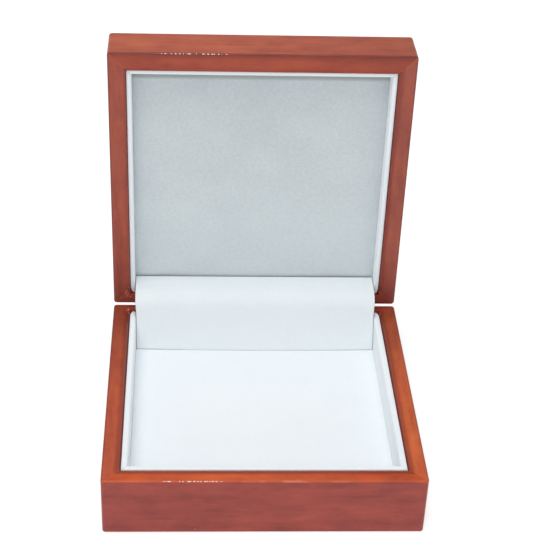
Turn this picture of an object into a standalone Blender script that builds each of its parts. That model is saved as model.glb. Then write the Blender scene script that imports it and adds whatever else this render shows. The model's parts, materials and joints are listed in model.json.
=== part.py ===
"""Square wooden presentation box with a hinged lid, both halves lined and padded.

Metres. +X is the box's right, +Y its hinged rear, +Z up. The origin is the centre of the
underside. The lid stands open at a right angle, which is the rest pose.
"""

import math

import bmesh
import bpy
from mathutils import Matrix, Vector

# Driving dimensions.
WIDTH = 0.190
DEPTH = 0.182
BASE_TOP = 0.0395
LID_HEIGHT = 0.030
PARTING_GAP = 0.0003
WALL = 0.011
GAP = 0.0003
OPENING_ANGLE = math.radians(90.0)

# Edges of the wooden frames.
CORNER_RADIUS = 0.0020
OUTER_ROUND = 0.0010
BASE_INNER_ROUND = 0.0026
LID_INNER_ROUND = 0.0016
FOOT_BEVEL = 0.0006
REBATE = 0.0050
BASE_REBATE_TOP = 0.0055
LID_REBATE_DEPTH = 0.0043
FELT_REVEAL = 0.0003

# Linings and pads.
BASE_LINER = 0.0039
LID_LINER = 0.0031
LINER_ROUND = 0.0014
BASE_LINER_DROP = 0.0006
LID_LINER_DROP = 0.0022
NOTCH = 0.0045
FELT_THICKNESS = 0.0016
PANEL_THICKNESS = 0.0033
CARD = 0.0015
FLOOR_TOP = 0.0195
FLOOR_REAR = 0.0655
LID_PAD_RECESS = 0.0134
PAD_ROUND = 0.0020
LID_PANEL_THICKNESS = 0.0040

# Hinges.
AXIS_BEHIND_WALL = 0.00045
HINGE_X = 0.048
LEAF_LENGTH = 0.034
LEAF_FRONT = 0.0095
LEAF_THICKNESS = 0.0015
KNUCKLE_RADIUS = 0.0022
BARREL_LENGTH = 0.0240
MIDDLE_KNUCKLE = 0.0084
PIN_RADIUS = 0.00090
PIN_CLEARANCE = 0.00006
KNUCKLE_GAP = 0.0003
STOP_REACH = 0.0048
STOP_WIDTH = 0.0040
SCREW_SPACING = 0.024
SCREW_HEAD_RADIUS = 0.0020
SCREW_SHANK_RADIUS = 0.0009
SCREW_LENGTH = 0.0080
SCREW_HEAD_DEPTH = 0.0011
SCREW_INSET = 0.0056

# Strip that hides the hinges.
COVER_HALF_WIDTH = 0.0793
COVER_THICKNESS = 0.0012
COVER_FOOT = (0.0668, 0.0176)
COVER_END = (0.1043, 0.0544)
COVER_RADIUS = 0.0126
COVER_ARC_STEPS = 7
COVER_LINE_STEPS = 3

# Levels worked out from the above.
WALL_FOOT = FELT_REVEAL
LID_RIM = BASE_TOP + PARTING_GAP
LID_TOP = LID_RIM + LID_HEIGHT
AXIS_Y = DEPTH / 2 + AXIS_BEHIND_WALL
AXIS_Z = BASE_TOP + PARTING_GAP / 2
INNER_X = WIDTH / 2 - WALL
INNER_Y = DEPTH / 2 - WALL
LINER_OUT_X = INNER_X - GAP
LINER_OUT_Y = INNER_Y - GAP
LINER_REAR = INNER_Y + NOTCH - GAP
MITRE_SLACK = GAP / math.sqrt(2.0)

PARTS = "presentation_box"
CUTTERS = "cutters"


def clear_scene():
    for obj in list(bpy.data.objects):
        bpy.data.objects.remove(obj, do_unlink=True)


def make_collections():
    scene = bpy.context.scene.collection
    parts = bpy.data.collections.new(PARTS)
    cutters = bpy.data.collections.new(CUTTERS)
    scene.children.link(parts)
    scene.children.link(cutters)
    cutters.hide_render = True
    return parts, cutters


def material(name, colour, roughness, metallic=0.0):
    made = bpy.data.materials.new(name)
    made.use_nodes = True
    shader = made.node_tree.nodes["Principled BSDF"]
    shader.inputs["Base Color"].default_value = (*colour, 1.0)
    shader.inputs["Roughness"].default_value = roughness
    shader.inputs["Metallic"].default_value = metallic
    made.diffuse_color = (*colour, 1.0)
    return made


def arc(centre, radius, start, end, steps):
    """Points of a circular arc between two angles in degrees."""
    points = []
    for k in range(steps + 1):
        angle = math.radians(start + (end - start) * k / steps)
        points.append((centre[0] + radius * math.cos(angle), centre[1] + radius * math.sin(angle)))
    return points


def flat_mesh(name, outline, thickness):
    """A closed plate: the outline in XY, its thickness centred on Z."""
    curve = bpy.data.curves.new(name + "_outline", "CURVE")
    curve.dimensions = "2D"
    curve.fill_mode = "BOTH"
    curve.extrude = thickness / 2
    spline = curve.splines.new("POLY")
    spline.points.add(len(outline) - 1)
    for point, (x, y) in zip(spline.points, outline):
        point.co = (x, y, 0.0, 1.0)
    spline.use_cyclic_u = True
    holder = bpy.data.objects.new(name + "_outline", curve)
    mesh = bpy.data.meshes.new_from_object(holder)
    bpy.data.objects.remove(holder)
    bpy.data.curves.remove(curve)
    work = bmesh.new()
    work.from_mesh(mesh)
    bmesh.ops.remove_doubles(work, verts=work.verts, dist=1e-6)
    bmesh.ops.recalc_face_normals(work, faces=work.faces)
    work.to_mesh(mesh)
    work.free()
    mesh.name = name
    mesh.materials.clear()
    return mesh


def block_mesh(name, low, high):
    """A box between two corners."""
    low = Vector(low)
    high = Vector(high)
    mesh = bpy.data.meshes.new(name)
    work = bmesh.new()
    bmesh.ops.create_cube(work, size=1.0)
    size = high - low
    bmesh.ops.scale(work, vec=size, verts=work.verts)
    bmesh.ops.translate(work, vec=(low + high) / 2, verts=work.verts)
    work.to_mesh(mesh)
    work.free()
    return mesh


def turned_mesh(name, profile, steps):
    """A solid of revolution about Z from (radius, height) pairs, top to bottom."""
    mesh = bpy.data.meshes.new(name + "_profile")
    work = bmesh.new()
    verts = [work.verts.new((radius, 0.0, height)) for radius, height in profile]
    for first, second in zip(verts, verts[1:]):
        work.edges.new((first, second))
    work.to_mesh(mesh)
    work.free()
    holder = bpy.data.objects.new(name + "_profile", mesh)
    bpy.context.scene.collection.objects.link(holder)
    screw = holder.modifiers.new("turn", "SCREW")
    screw.axis = "Z"
    screw.steps = steps
    screw.render_steps = steps
    screw.use_merge_vertices = True
    screw.merge_threshold = 0.00001
    bpy.context.view_layer.update()
    graph = bpy.context.evaluated_depsgraph_get()
    solid = bpy.data.meshes.new_from_object(holder.evaluated_get(graph))
    bpy.data.objects.remove(holder)
    bpy.data.meshes.remove(mesh)
    work = bmesh.new()
    work.from_mesh(solid)
    bmesh.ops.remove_doubles(work, verts=work.verts, dist=1e-7)
    bmesh.ops.recalc_face_normals(work, faces=work.faces)
    work.to_mesh(solid)
    work.free()
    solid.name = name
    return solid


def lay_on_x(mesh):
    """Turns a mesh modelled along Z so that it runs along X."""
    mesh.transform(Matrix.Rotation(math.radians(90.0), 4, "Y"))
    return mesh


def place(name, mesh, finish, collection, parent=None, location=(0.0, 0.0, 0.0), turn=0.0):
    obj = bpy.data.objects.new(name, mesh)
    collection.objects.link(obj)
    if finish is not None:
        mesh.materials.append(finish)
    obj.location = location
    obj.rotation_euler = (0.0, 0.0, turn)
    obj.parent = parent
    return obj


def cutter(name, mesh, collection, parent=None, location=(0.0, 0.0, 0.0)):
    obj = place(name, mesh, None, collection, parent, location)
    obj.display_type = "WIRE"
    obj.hide_render = True
    return obj


def cut(obj, tool, operation="DIFFERENCE"):
    step = obj.modifiers.new(tool.name, "BOOLEAN")
    step.operation = operation
    step.solver = "EXACT"
    step.object = tool
    return step


def bevel(obj, width, segments, angle=30.0):
    step = obj.modifiers.new("rounded_edges", "BEVEL")
    step.width = width
    step.segments = segments
    step.limit_method = "ANGLE"
    step.angle_limit = math.radians(angle)
    return step


def smooth(mesh, angle=35.0):
    mesh.shade_smooth()
    mesh.set_sharp_from_angle(angle=math.radians(angle))


def base_wall_section():
    """Cross-section of a base wall as (inset from the outer face, height) pairs."""
    rim = BASE_TOP - BASE_INNER_ROUND
    points = [(FOOT_BEVEL, WALL_FOOT), (0.0, WALL_FOOT + FOOT_BEVEL)]
    points += arc((OUTER_ROUND, BASE_TOP - OUTER_ROUND), OUTER_ROUND, 180.0, 90.0, 5)
    points += arc((WALL - BASE_INNER_ROUND, rim), BASE_INNER_ROUND, 90.0, 0.0, 6)
    points.append((WALL, BASE_REBATE_TOP))
    points.append((WALL - REBATE, BASE_REBATE_TOP))
    points.append((WALL - REBATE, WALL_FOOT))
    return points


def lid_wall_section():
    """Cross-section of a lid wall in the closed position, its rim below."""
    ceiling = LID_TOP - LID_REBATE_DEPTH
    rim = LID_RIM + LID_INNER_ROUND
    points = arc((OUTER_ROUND, LID_RIM + OUTER_ROUND), OUTER_ROUND, 270.0, 180.0, 5)
    points += arc((OUTER_ROUND, LID_TOP - OUTER_ROUND), OUTER_ROUND, 180.0, 90.0, 5)
    points.append((WALL - REBATE, LID_TOP))
    points.append((WALL - REBATE, ceiling))
    points.append((WALL, ceiling))
    points += arc((WALL - LID_INNER_ROUND, rim), LID_INNER_ROUND, 0.0, -90.0, 6)
    return points


def wall_plan(length):
    """Plan of a mitred wall: (along, inset) pairs with half of each rounded corner."""
    half = length / 2
    radius = CORNER_RADIUS
    sweep = math.degrees(math.acos(MITRE_SLACK / (radius * math.sqrt(2.0)))) - 45.0
    right = arc((half - radius, radius), radius, -90.0, -90.0 + sweep, 4)
    left = [(-x, y) for x, y in reversed(right)]
    reach = half - MITRE_SLACK - WALL
    inner = [(reach, WALL), (-reach, WALL)]
    return left + right + inner


def frame_wall(name, length, reach, turn, section, parts, cutters, parent, origin, finish):
    """One mitred wall: a moulding cut to its plan and stood on one side of the box."""
    mesh = flat_mesh(name, section, length)
    mesh.transform(Matrix(((0, 0, 1, 0), (1, 0, 0, 0), (0, 1, 0, 0), (0, 0, 0, 1))))
    mesh.transform(Matrix.Translation((0.0, -reach, 0.0)))
    obj = place(name, mesh, finish, parts, parent, origin, turn)
    heights = [z for _, z in section]
    low = min(heights) - 0.002
    high = max(heights) + 0.002
    plan = flat_mesh(name + "_plan", wall_plan(length), high - low)
    plan.transform(Matrix.Translation((0.0, -reach, (low + high) / 2)))
    tool = place(name + "_plan", plan, None, cutters, parent, origin, turn)
    tool.display_type = "WIRE"
    tool.hide_render = True
    cut(obj, tool, "INTERSECT")
    smooth(mesh, 28.0)
    return obj


def frame(prefix, section, parts, cutters, parent, origin, finish):
    """The four mitred walls of one half of the box."""
    sides = (
        ("front", WIDTH, DEPTH / 2, 0.0),
        ("right", DEPTH, WIDTH / 2, math.pi / 2),
        ("back", WIDTH, DEPTH / 2, math.pi),
        ("left", DEPTH, WIDTH / 2, -math.pi / 2),
    )
    made = {}
    for side, length, reach, turn in sides:
        name = f"{prefix}_{side}_wall"
        made[side] = frame_wall(
            name, length, reach, turn, section, parts, cutters, parent, origin, finish
        )
    return made


def padded_block(name, low, high, radius, finish, parts, parent, origin, segments=3):
    """A lining or pad board with rounded edges."""
    obj = place(name, block_mesh(name, low, high), finish, parts, parent, origin)
    bevel(obj, radius, segments)
    smooth(obj.data)
    return obj


def lining_mesh(name, thickness, foot, top, start, end, mitre_start, mitre_end):
    """A padded board along X between two stations, its back on Y = 0, its ends mitred or square."""
    edge = LINER_ROUND
    section = [(0.0, foot)]
    section += arc((edge, top - edge), edge, 180.0, 90.0, 4)
    section += arc((thickness - edge, top - edge), edge, 90.0, 0.0, 4)
    section.append((thickness, foot))
    mesh = flat_mesh(name, section, end - start)
    mesh.transform(Matrix(((0, 0, 1, 0), (1, 0, 0, 0), (0, 1, 0, 0), (0, 0, 0, 1))))
    mesh.transform(Matrix.Translation(((start + end) / 2, 0.0, 0.0)))
    for mitred, station, way in ((mitre_start, start, -1.0), (mitre_end, end, 1.0)):
        if mitred:
            trim_end(mesh, station - way * MITRE_SLACK, way)
    return mesh


def trim_end(mesh, station, way):
    """Cuts the end of a board along a 45 degree plane and caps it."""
    work = bmesh.new()
    work.from_mesh(mesh)
    everything = work.verts[:] + work.edges[:] + work.faces[:]
    cutting = bmesh.ops.bisect_plane(
        work,
        geom=everything,
        plane_co=(station, 0.0, 0.0),
        plane_no=(way, 1.0, 0.0),
        clear_outer=True,
    )
    rim = [item for item in cutting["geom_cut"] if isinstance(item, bmesh.types.BMEdge)]
    bmesh.ops.edgeloop_fill(work, edges=rim)
    bmesh.ops.recalc_face_normals(work, faces=work.faces)
    work.to_mesh(mesh)
    work.free()


def linings(prefix, thickness, foot, top, finish, parts, parent, origin):
    """Front, right and left linings of one half, mitred at the two front corners."""
    rims_down = prefix == "lid"
    sides = (
        ("front", LINER_OUT_Y, 0.0, -LINER_OUT_X, LINER_OUT_X, True, True),
        ("right", LINER_OUT_X, math.pi / 2, -LINER_OUT_Y, LINER_REAR, True, False),
        ("left", LINER_OUT_X, -math.pi / 2, -LINER_REAR, LINER_OUT_Y, False, True),
    )
    for side, reach, turn, start, end, mitre_start, mitre_end in sides:
        name = f"{prefix}_{side}_lining"
        mesh = lining_mesh(name, thickness, foot, top, start, end, mitre_start, mitre_end)
        if rims_down:
            mesh.transform(Matrix.Translation((0.0, 0.0, foot + top)) @ Matrix.Scale(-1.0, 4, (0, 0, 1)))
            mesh.flip_normals()
        mesh.transform(Matrix.Translation((0.0, -reach, 0.0)))
        place(name, mesh, finish, parts, parent, origin, turn)
        smooth(mesh)


def lining_notches(prefix, wall, thickness, foot, top, cutters, parent, origin):
    """Two notches in the inside of a back wall that take the rear ends of the linings."""
    inner = LINER_OUT_X - thickness - GAP
    for side, sign in (("left", -1.0), ("right", 1.0)):
        near = sign * inner
        far = sign * INNER_X
        low = (min(near, far), INNER_Y - 0.001, foot)
        high = (max(near, far), INNER_Y + NOTCH, top)
        name = f"{prefix}_{side}_notch"
        cut(wall, cutter(name, block_mesh(name, low, high), cutters, parent, origin))


def tangent_angle(point, radius, side):
    """Angle at which a line from a point touches a circle about the hinge axis."""
    away = Vector(point) - Vector((AXIS_Y, AXIS_Z))
    return math.atan2(away.y, away.x) + side * math.acos(radius / away.length)


def steps_between(start, end, count):
    """Evenly spaced points from one point up to, but not including, another."""
    first = Vector(start)
    last = Vector(end)
    return [first.lerp(last, k / count) for k in range(count)]


def cover_path():
    """Middle line of the cover in (Y, Z): up from the floor, round the hinge, into the lid."""
    first = tangent_angle(COVER_FOOT, COVER_RADIUS, -1.0) % math.tau
    last = tangent_angle(COVER_END, COVER_RADIUS, 1.0) % math.tau
    bend = arc(
        (AXIS_Y, AXIS_Z), COVER_RADIUS, math.degrees(first), math.degrees(last), COVER_ARC_STEPS
    )
    rise = steps_between(COVER_FOOT, bend[0], COVER_LINE_STEPS)
    reach = steps_between(bend[-1], COVER_END, COVER_LINE_STEPS)
    middle = [Vector(point) for point in bend[:-1]]
    return rise + middle + reach + [Vector(COVER_END)]


def cover_outline():
    """Closed outline of the hinge cover's section in (Y, Z): its path given a thickness."""
    path = cover_path()
    upper = []
    lower = []
    for k, point in enumerate(path):
        ahead = path[min(k + 1, len(path) - 1)]
        behind = path[max(k - 1, 0)]
        along = (ahead - behind).normalized()
        side = Vector((-along.y, along.x))
        upper.append(tuple(point + side * COVER_THICKNESS / 2))
        lower.append(tuple(point - side * COVER_THICKNESS / 2))
    return upper + lower[::-1]


def hinge_cover(finish, parts):
    mesh = flat_mesh("hinge_cover", cover_outline(), 2 * COVER_HALF_WIDTH)
    mesh.transform(Matrix(((0, 0, 1, 0), (1, 0, 0, 0), (0, 1, 0, 0), (0, 0, 0, 1))))
    obj = place("hinge_cover", mesh, finish, parts)
    smooth(mesh, 40.0)
    return obj


def screw_mesh(name, grow=0.0):
    """A countersunk wood screw hanging from Z = 0, or its clearance hole when grown."""
    head = SCREW_HEAD_RADIUS + grow
    shank = SCREW_SHANK_RADIUS + grow
    top = 0.0
    if grow > 0.0:
        top = 0.002
    profile = [(0.0, top), (head, top)]
    if grow > 0.0:
        profile.append((head, 0.0))
    profile += [
        (shank, -SCREW_HEAD_DEPTH - grow),
        (shank, -SCREW_LENGTH * 0.7),
        (shank * 0.35, -SCREW_LENGTH - grow),
        (0.0, -SCREW_LENGTH - grow),
    ]
    return turned_mesh(name, profile, 20)


def leaf_outline(outer_knuckles):
    """Plan of a hinge leaf in (X, Y) about the hinge axis, its knuckle edge at the rear."""
    half = LEAF_LENGTH / 2
    front = -LEAF_FRONT
    clear = -(KNUCKLE_RADIUS + KNUCKLE_GAP)
    reach = -(PIN_RADIUS + 0.0004)
    inner = MIDDLE_KNUCKLE / 2
    outer = BARREL_LENGTH / 2
    if outer_knuckles:
        ear = half - STOP_WIDTH
        return [
            (-half, front),
            (half, front),
            (half, STOP_REACH),
            (ear, STOP_REACH),
            (ear, clear),
            (outer, clear),
            (outer, reach),
            (inner + KNUCKLE_GAP, reach),
            (inner + KNUCKLE_GAP, clear),
            (-inner - KNUCKLE_GAP, clear),
            (-inner - KNUCKLE_GAP, reach),
            (-outer, reach),
            (-outer, clear),
            (-ear, clear),
            (-ear, STOP_REACH),
            (-half, STOP_REACH),
        ]
    return [
        (-half, front),
        (half, front),
        (half, clear),
        (inner, clear),
        (inner, reach),
        (-inner, reach),
        (-inner, clear),
        (-half, clear),
    ]


def ring_mesh(name, length):
    """A hollow knuckle along X, centred on the hinge axis."""
    bore = PIN_RADIUS + PIN_CLEARANCE
    profile = [
        (bore, length / 2),
        (KNUCKLE_RADIUS, length / 2),
        (KNUCKLE_RADIUS, -length / 2),
        (bore, -length / 2),
        (bore, length / 2),
    ]
    return lay_on_x(turned_mesh(name, profile, 28))


def cylinder_mesh(name, radius, length, steps=28):
    profile = [(0.0, length / 2), (radius, length / 2), (radius, -length / 2), (0.0, -length / 2)]
    return lay_on_x(turned_mesh(name, profile, steps))


def hinge_leaf(name, x, sign, parts, cutters, parent, origin, finish):
    """A leaf with its knuckles joined on. The sign is -1 below the axis and 1 above it."""
    lower = sign < 0.0
    face = PARTING_GAP / 2
    mesh = flat_mesh(name, leaf_outline(lower), LEAF_THICKNESS)
    mesh.transform(Matrix.Translation((x, 0.0, sign * (face + LEAF_THICKNESS / 2))))
    leaf = place(name, mesh, finish, parts, parent, origin)
    if lower:
        length = (BARREL_LENGTH - MIDDLE_KNUCKLE) / 2 - KNUCKLE_GAP
        offset = MIDDLE_KNUCKLE / 2 + KNUCKLE_GAP + length / 2
        places = (-offset, offset)
    else:
        length = MIDDLE_KNUCKLE
        places = (0.0,)
    for k, shift in enumerate(places):
        ring = ring_mesh(f"{name}_knuckle_{k}", length)
        ring.transform(Matrix.Translation((x + shift, 0.0, 0.0)))
        tool = cutter(f"{name}_knuckle_{k}", ring, cutters, parent, origin)
        cut(leaf, tool, "UNION")
    smooth(mesh)
    return leaf


def hinge_screws(label, x, sign, leaf, wall, parts, cutters, parent, origin, finish):
    """Two countersunk screws through a leaf into its wall, with their holes."""
    face = sign * PARTING_GAP / 2
    for k, shift in enumerate((-SCREW_SPACING / 2, SCREW_SPACING / 2)):
        name = f"{label}_screw_{k + 1}"
        at = Matrix.Translation((x + shift, -SCREW_INSET, face))
        if sign > 0.0:
            at = at @ Matrix.Rotation(math.pi, 4, "X")
        hole = screw_mesh(name + "_hole", 0.00020)
        hole.transform(at)
        tool = cutter(name + "_hole", hole, cutters, parent, origin)
        cut(leaf, tool)
        cut(wall, tool)
        body = screw_mesh(name)
        body.transform(at @ Matrix.Translation((0.0, 0.0, -0.0001)))
        screw = place(name, body, finish, parts, parent, origin)
        smooth(screw.data)


def hinge_seat(name, x, sign, wall, cutters, parent, origin):
    """Lets a leaf and the barrel into the rim of a back wall."""
    half = LEAF_LENGTH / 2 + GAP
    depth = LEAF_THICKNESS + PARTING_GAP / 2 + GAP
    near = sign * -0.001
    far = sign * depth
    rear = -PIN_RADIUS
    if sign < 0.0:
        rear = 0.004
    low = (x - half, -LEAF_FRONT - GAP, min(near, far))
    high = (x + half, rear, max(near, far))
    recess = cutter(name + "_recess", block_mesh(name + "_recess", low, high), cutters, parent, origin)
    cut(wall, recess)
    groove = cylinder_mesh(name + "_groove", KNUCKLE_RADIUS + 0.0004, BARREL_LENGTH + 2 * GAP, 24)
    groove.transform(Matrix.Translation((x, 0.0, 0.0)))
    tool = cutter(name + "_groove", groove, cutters, parent, origin)
    cut(wall, tool)


def build():
    clear_scene()
    parts, cutters = make_collections()
    mahogany = material("mahogany", (0.33, 0.075, 0.045), 0.35)
    ply = material("plywood", (0.45, 0.28, 0.16), 0.7)
    board = material("card_board", (0.72, 0.70, 0.66), 0.8)
    satin = material("white_lining", (0.86, 0.88, 0.90), 0.6)
    grey = material("grey_lining", (0.60, 0.63, 0.64), 0.7)
    felt = material("brown_felt", (0.09, 0.04, 0.05), 0.95)
    brass = material("brass", (0.72, 0.55, 0.25), 0.3, 1.0)

    lid_axis = bpy.data.objects.new("lid_axis", None)
    parts.objects.link(lid_axis)
    lid_axis.location = (0.0, AXIS_Y, AXIS_Z)
    lid_axis.rotation_euler = (-OPENING_ANGLE, 0.0, 0.0)
    base_axis = bpy.data.objects.new("base_axis", None)
    parts.objects.link(base_axis)
    base_axis.location = (0.0, AXIS_Y, AXIS_Z)
    # Lid pieces are laid out in the closed position and hung on the tilted axis.
    closed = (0.0, -AXIS_Y, -AXIS_Z)
    here = (0.0, 0.0, 0.0)

    base = frame("base", base_wall_section(), parts, cutters, None, here, mahogany)
    lid = frame("lid", lid_wall_section(), parts, cutters, lid_axis, closed, mahogany)

    rebate_x = WIDTH / 2 - WALL + REBATE - GAP
    rebate_y = DEPTH / 2 - WALL + REBATE - GAP
    panel_low = FELT_THICKNESS + GAP
    panel = block_mesh(
        "base_bottom_panel",
        (-rebate_x, -rebate_y, panel_low),
        (rebate_x, rebate_y, panel_low + PANEL_THICKNESS),
    )
    place("base_bottom_panel", panel, ply, parts)
    sheet = block_mesh(
        "base_felt", (-rebate_x, -rebate_y, 0.0), (rebate_x, rebate_y, FELT_THICKNESS)
    )
    place("base_felt", sheet, felt, parts)
    padded_block(
        "lid_top_panel",
        (-rebate_x, -rebate_y, LID_TOP - LID_PANEL_THICKNESS),
        (rebate_x, rebate_y, LID_TOP),
        0.0005,
        mahogany,
        parts,
        lid_axis,
        closed,
        2,
    )

    floor_foot = panel_low + PANEL_THICKNESS + GAP
    pad_x = LINER_OUT_X - BASE_LINER - GAP
    pad_front = -(LINER_OUT_Y - BASE_LINER - GAP)
    card = block_mesh(
        "floor_card",
        (-pad_x, pad_front, floor_foot),
        (pad_x, LINER_OUT_Y, floor_foot + CARD),
    )
    place("floor_card", card, board, parts)
    padded_block(
        "floor_pad",
        (-pad_x, pad_front, floor_foot + CARD + GAP),
        (pad_x, FLOOR_REAR, FLOOR_TOP),
        PAD_ROUND,
        satin,
        parts,
        None,
        here,
    )
    lining_top = BASE_TOP - BASE_LINER_DROP
    linings("base", BASE_LINER, floor_foot, lining_top, satin, parts, None, here)
    lining_notches(
        "base", base["back"], BASE_LINER, floor_foot - GAP, BASE_TOP + 0.001, cutters, None, here
    )

    lid_ceiling = LID_TOP - LID_PANEL_THICKNESS - GAP
    pad_x = LINER_OUT_X - LID_LINER - GAP
    pad_front = -(LINER_OUT_Y - LID_LINER - GAP)
    card = block_mesh(
        "lid_card",
        (-pad_x, pad_front, lid_ceiling - CARD),
        (pad_x, LINER_OUT_Y, lid_ceiling),
    )
    place("lid_card", card, board, parts, lid_axis, closed)
    padded_block(
        "lid_pad",
        (-pad_x, pad_front, LID_RIM + LID_PAD_RECESS),
        (pad_x, LINER_OUT_Y - 0.0005, lid_ceiling - CARD - GAP),
        PAD_ROUND,
        grey,
        parts,
        lid_axis,
        closed,
    )
    lining_foot = LID_RIM + LID_LINER_DROP
    linings("lid", LID_LINER, lining_foot, lid_ceiling, satin, parts, lid_axis, closed)
    lining_notches(
        "lid", lid["back"], LID_LINER, LID_RIM - 0.001, lid_ceiling + GAP, cutters, lid_axis, closed
    )

    hinge_cover(satin, parts)

    for side, x in (("left", -HINGE_X), ("right", HINGE_X)):
        name = f"{side}_hinge"
        hinge_seat(name + "_base_seat", x, -1.0, base["back"], cutters, base_axis, here)
        lower = hinge_leaf(
            name + "_lower_leaf", x, -1.0, parts, cutters, base_axis, here, brass
        )
        hinge_screws(
            name + "_lower", x, -1.0, lower, base["back"], parts, cutters, base_axis, here, brass
        )
        hinge_seat(name + "_lid_seat", x, 1.0, lid["back"], cutters, lid_axis, here)
        upper = hinge_leaf(name + "_upper_leaf", x, 1.0, parts, cutters, lid_axis, here, brass)
        hinge_screws(
            name + "_upper", x, 1.0, upper, lid["back"], parts, cutters, lid_axis, here, brass
        )
        pin = cylinder_mesh(name + "_pin", PIN_RADIUS, BARREL_LENGTH)
        pin.transform(Matrix.Translation((x, 0.0, 0.0)))
        rod = place(name + "_pin", pin, brass, parts, base_axis)
        smooth(rod.data)


build()
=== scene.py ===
"""Looks of a square presentation box, its mahogany lid open over white padded linings.

Metres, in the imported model's frame: +X to the box's right, +Y to its hinged rear, +Z up.
Wooden boards, linings, pads, felt and the hinge strip are modelled here. Hinges, screws,
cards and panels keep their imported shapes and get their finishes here.
"""

from __future__ import annotations

import json
import logging
import math
from dataclasses import dataclass, field
from enum import Enum
from typing import Any, Callable, Protocol, Sequence

import bmesh
import bpy
import numpy as np
from mathutils import Matrix, Vector

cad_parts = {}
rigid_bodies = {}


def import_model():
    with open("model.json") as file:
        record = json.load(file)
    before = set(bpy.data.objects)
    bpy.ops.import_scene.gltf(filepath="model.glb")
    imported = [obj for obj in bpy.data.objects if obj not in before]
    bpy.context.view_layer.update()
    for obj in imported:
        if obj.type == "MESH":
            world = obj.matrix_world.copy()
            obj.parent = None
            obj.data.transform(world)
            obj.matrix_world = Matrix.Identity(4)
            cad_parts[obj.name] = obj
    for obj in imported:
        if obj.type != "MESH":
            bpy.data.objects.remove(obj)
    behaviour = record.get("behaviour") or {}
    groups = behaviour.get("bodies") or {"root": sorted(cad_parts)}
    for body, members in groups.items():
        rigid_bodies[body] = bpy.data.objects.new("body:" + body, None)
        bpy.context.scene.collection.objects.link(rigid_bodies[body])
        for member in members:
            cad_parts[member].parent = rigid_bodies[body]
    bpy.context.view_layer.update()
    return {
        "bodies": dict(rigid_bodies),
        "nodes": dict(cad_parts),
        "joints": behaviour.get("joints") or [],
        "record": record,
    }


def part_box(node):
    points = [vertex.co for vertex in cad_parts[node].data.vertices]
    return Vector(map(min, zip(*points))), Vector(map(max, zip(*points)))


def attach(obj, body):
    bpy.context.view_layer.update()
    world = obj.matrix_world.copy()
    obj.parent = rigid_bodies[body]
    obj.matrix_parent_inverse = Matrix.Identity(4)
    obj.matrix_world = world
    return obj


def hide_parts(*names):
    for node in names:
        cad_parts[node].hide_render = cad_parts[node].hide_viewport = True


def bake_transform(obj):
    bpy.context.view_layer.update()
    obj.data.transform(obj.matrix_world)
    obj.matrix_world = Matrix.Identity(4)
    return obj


log = logging.getLogger("presentation_box")

MM = 0.001
PER_MM = 1000.0

# The lid's front board is thicker at its rim by this much, down to a depth.
FRONT_LIP = 1.2 * MM
LIP_DEPTH = 9.0 * MM
LIP_FADE = 7.2 * MM

# The sRGB curve: a straight toe, then a power.
SRGB_TOE = 0.04045
SRGB_TOE_SLOPE = 12.92
SRGB_OFFSET = 0.055
SRGB_POWER = 2.4

# Angles in degrees over which an edge of a mesh stays sharp.
WOOD_SHARP = 40.0
CLOTH_SHARP = 60.0
STRIP_SHARP = 75.0

Point = tuple[float, float, float]
Colour = tuple[float, float, float, float]


def srgb(red: int, green: int, blue: int) -> Colour:
    """Linear colour of an 8-bit display colour.

    Args:
        red: Red, from 0 to 255.
        green: Green, from 0 to 255.
        blue: Blue, from 0 to 255.

    Returns:
        Linear red, green, blue and an alpha of 1.
    """

    def linear(level: int) -> float:
        """Linear value of one 8-bit level.

        Args:
            level: The level, from 0 to 255.

        Returns:
            Its linear value, from 0 to 1.
        """
        share = level / 255.0
        if share <= SRGB_TOE:
            return share / SRGB_TOE_SLOPE
        return ((share + SRGB_OFFSET) / (1.0 + SRGB_OFFSET)) ** SRGB_POWER

    return (linear(red), linear(green), linear(blue), 1.0)


# ---------------------------------------------------------------- shader tools


class Wire:
    """A number inside a material, on which arithmetic adds Math nodes."""

    def __init__(self, graph: Graph, socket: bpy.types.NodeSocket) -> None:
        """Wraps one output socket of a graph."""
        self.graph = graph
        self.socket = socket

    def _math(self, operation: str, *values: Any) -> Wire:
        """Adds one Math node.

        Args:
            operation: The node's operation.
            values: Its inputs in order, wires or numbers.

        Returns:
            The node's result.
        """
        made = self.graph.node(
            "ShaderNodeMath", {"operation": operation}, dict(enumerate(values))
        )
        return Wire(self.graph, made.outputs[0])

    def __add__(self, other: Any) -> Wire:
        """Sum."""
        return self._math("ADD", self, other)

    __radd__ = __add__

    def __sub__(self, other: Any) -> Wire:
        """Difference."""
        return self._math("SUBTRACT", self, other)

    def __rsub__(self, other: Any) -> Wire:
        """Difference with the wire second."""
        return self._math("SUBTRACT", other, self)

    def __mul__(self, other: Any) -> Wire:
        """Product."""
        return self._math("MULTIPLY", self, other)

    __rmul__ = __mul__

    def __truediv__(self, other: Any) -> Wire:
        """Quotient."""
        return self._math("DIVIDE", self, other)

    def __pow__(self, other: Any) -> Wire:
        """Power."""
        return self._math("POWER", self, other)

    def __abs__(self) -> Wire:
        """Size without sign."""
        return self._math("ABSOLUTE", self)

    def root(self) -> Wire:
        """Square root."""
        return self._math("SQRT", self)

    def lowest(self, other: Any) -> Wire:
        """The smaller of two values."""
        return self._math("MINIMUM", self, other)

    def highest(self, other: Any) -> Wire:
        """The larger of two values."""
        return self._math("MAXIMUM", self, other)

    def rise(self, low: float, high: float) -> Wire:
        """A smooth step.

        Args:
            low: Where it starts to leave 0.
            high: Where it reaches 1. Below low, it falls instead.

        Returns:
            A value from 0 to 1.
        """
        if high < low:
            return 1.0 - self.rise(high, low)
        made = self.graph.node(
            "ShaderNodeMapRange",
            {"interpolation_type": "SMOOTHSTEP"},
            {"Value": self, "From Min": low, "From Max": high},
        )
        return Wire(self.graph, made.outputs["Result"])


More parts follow.
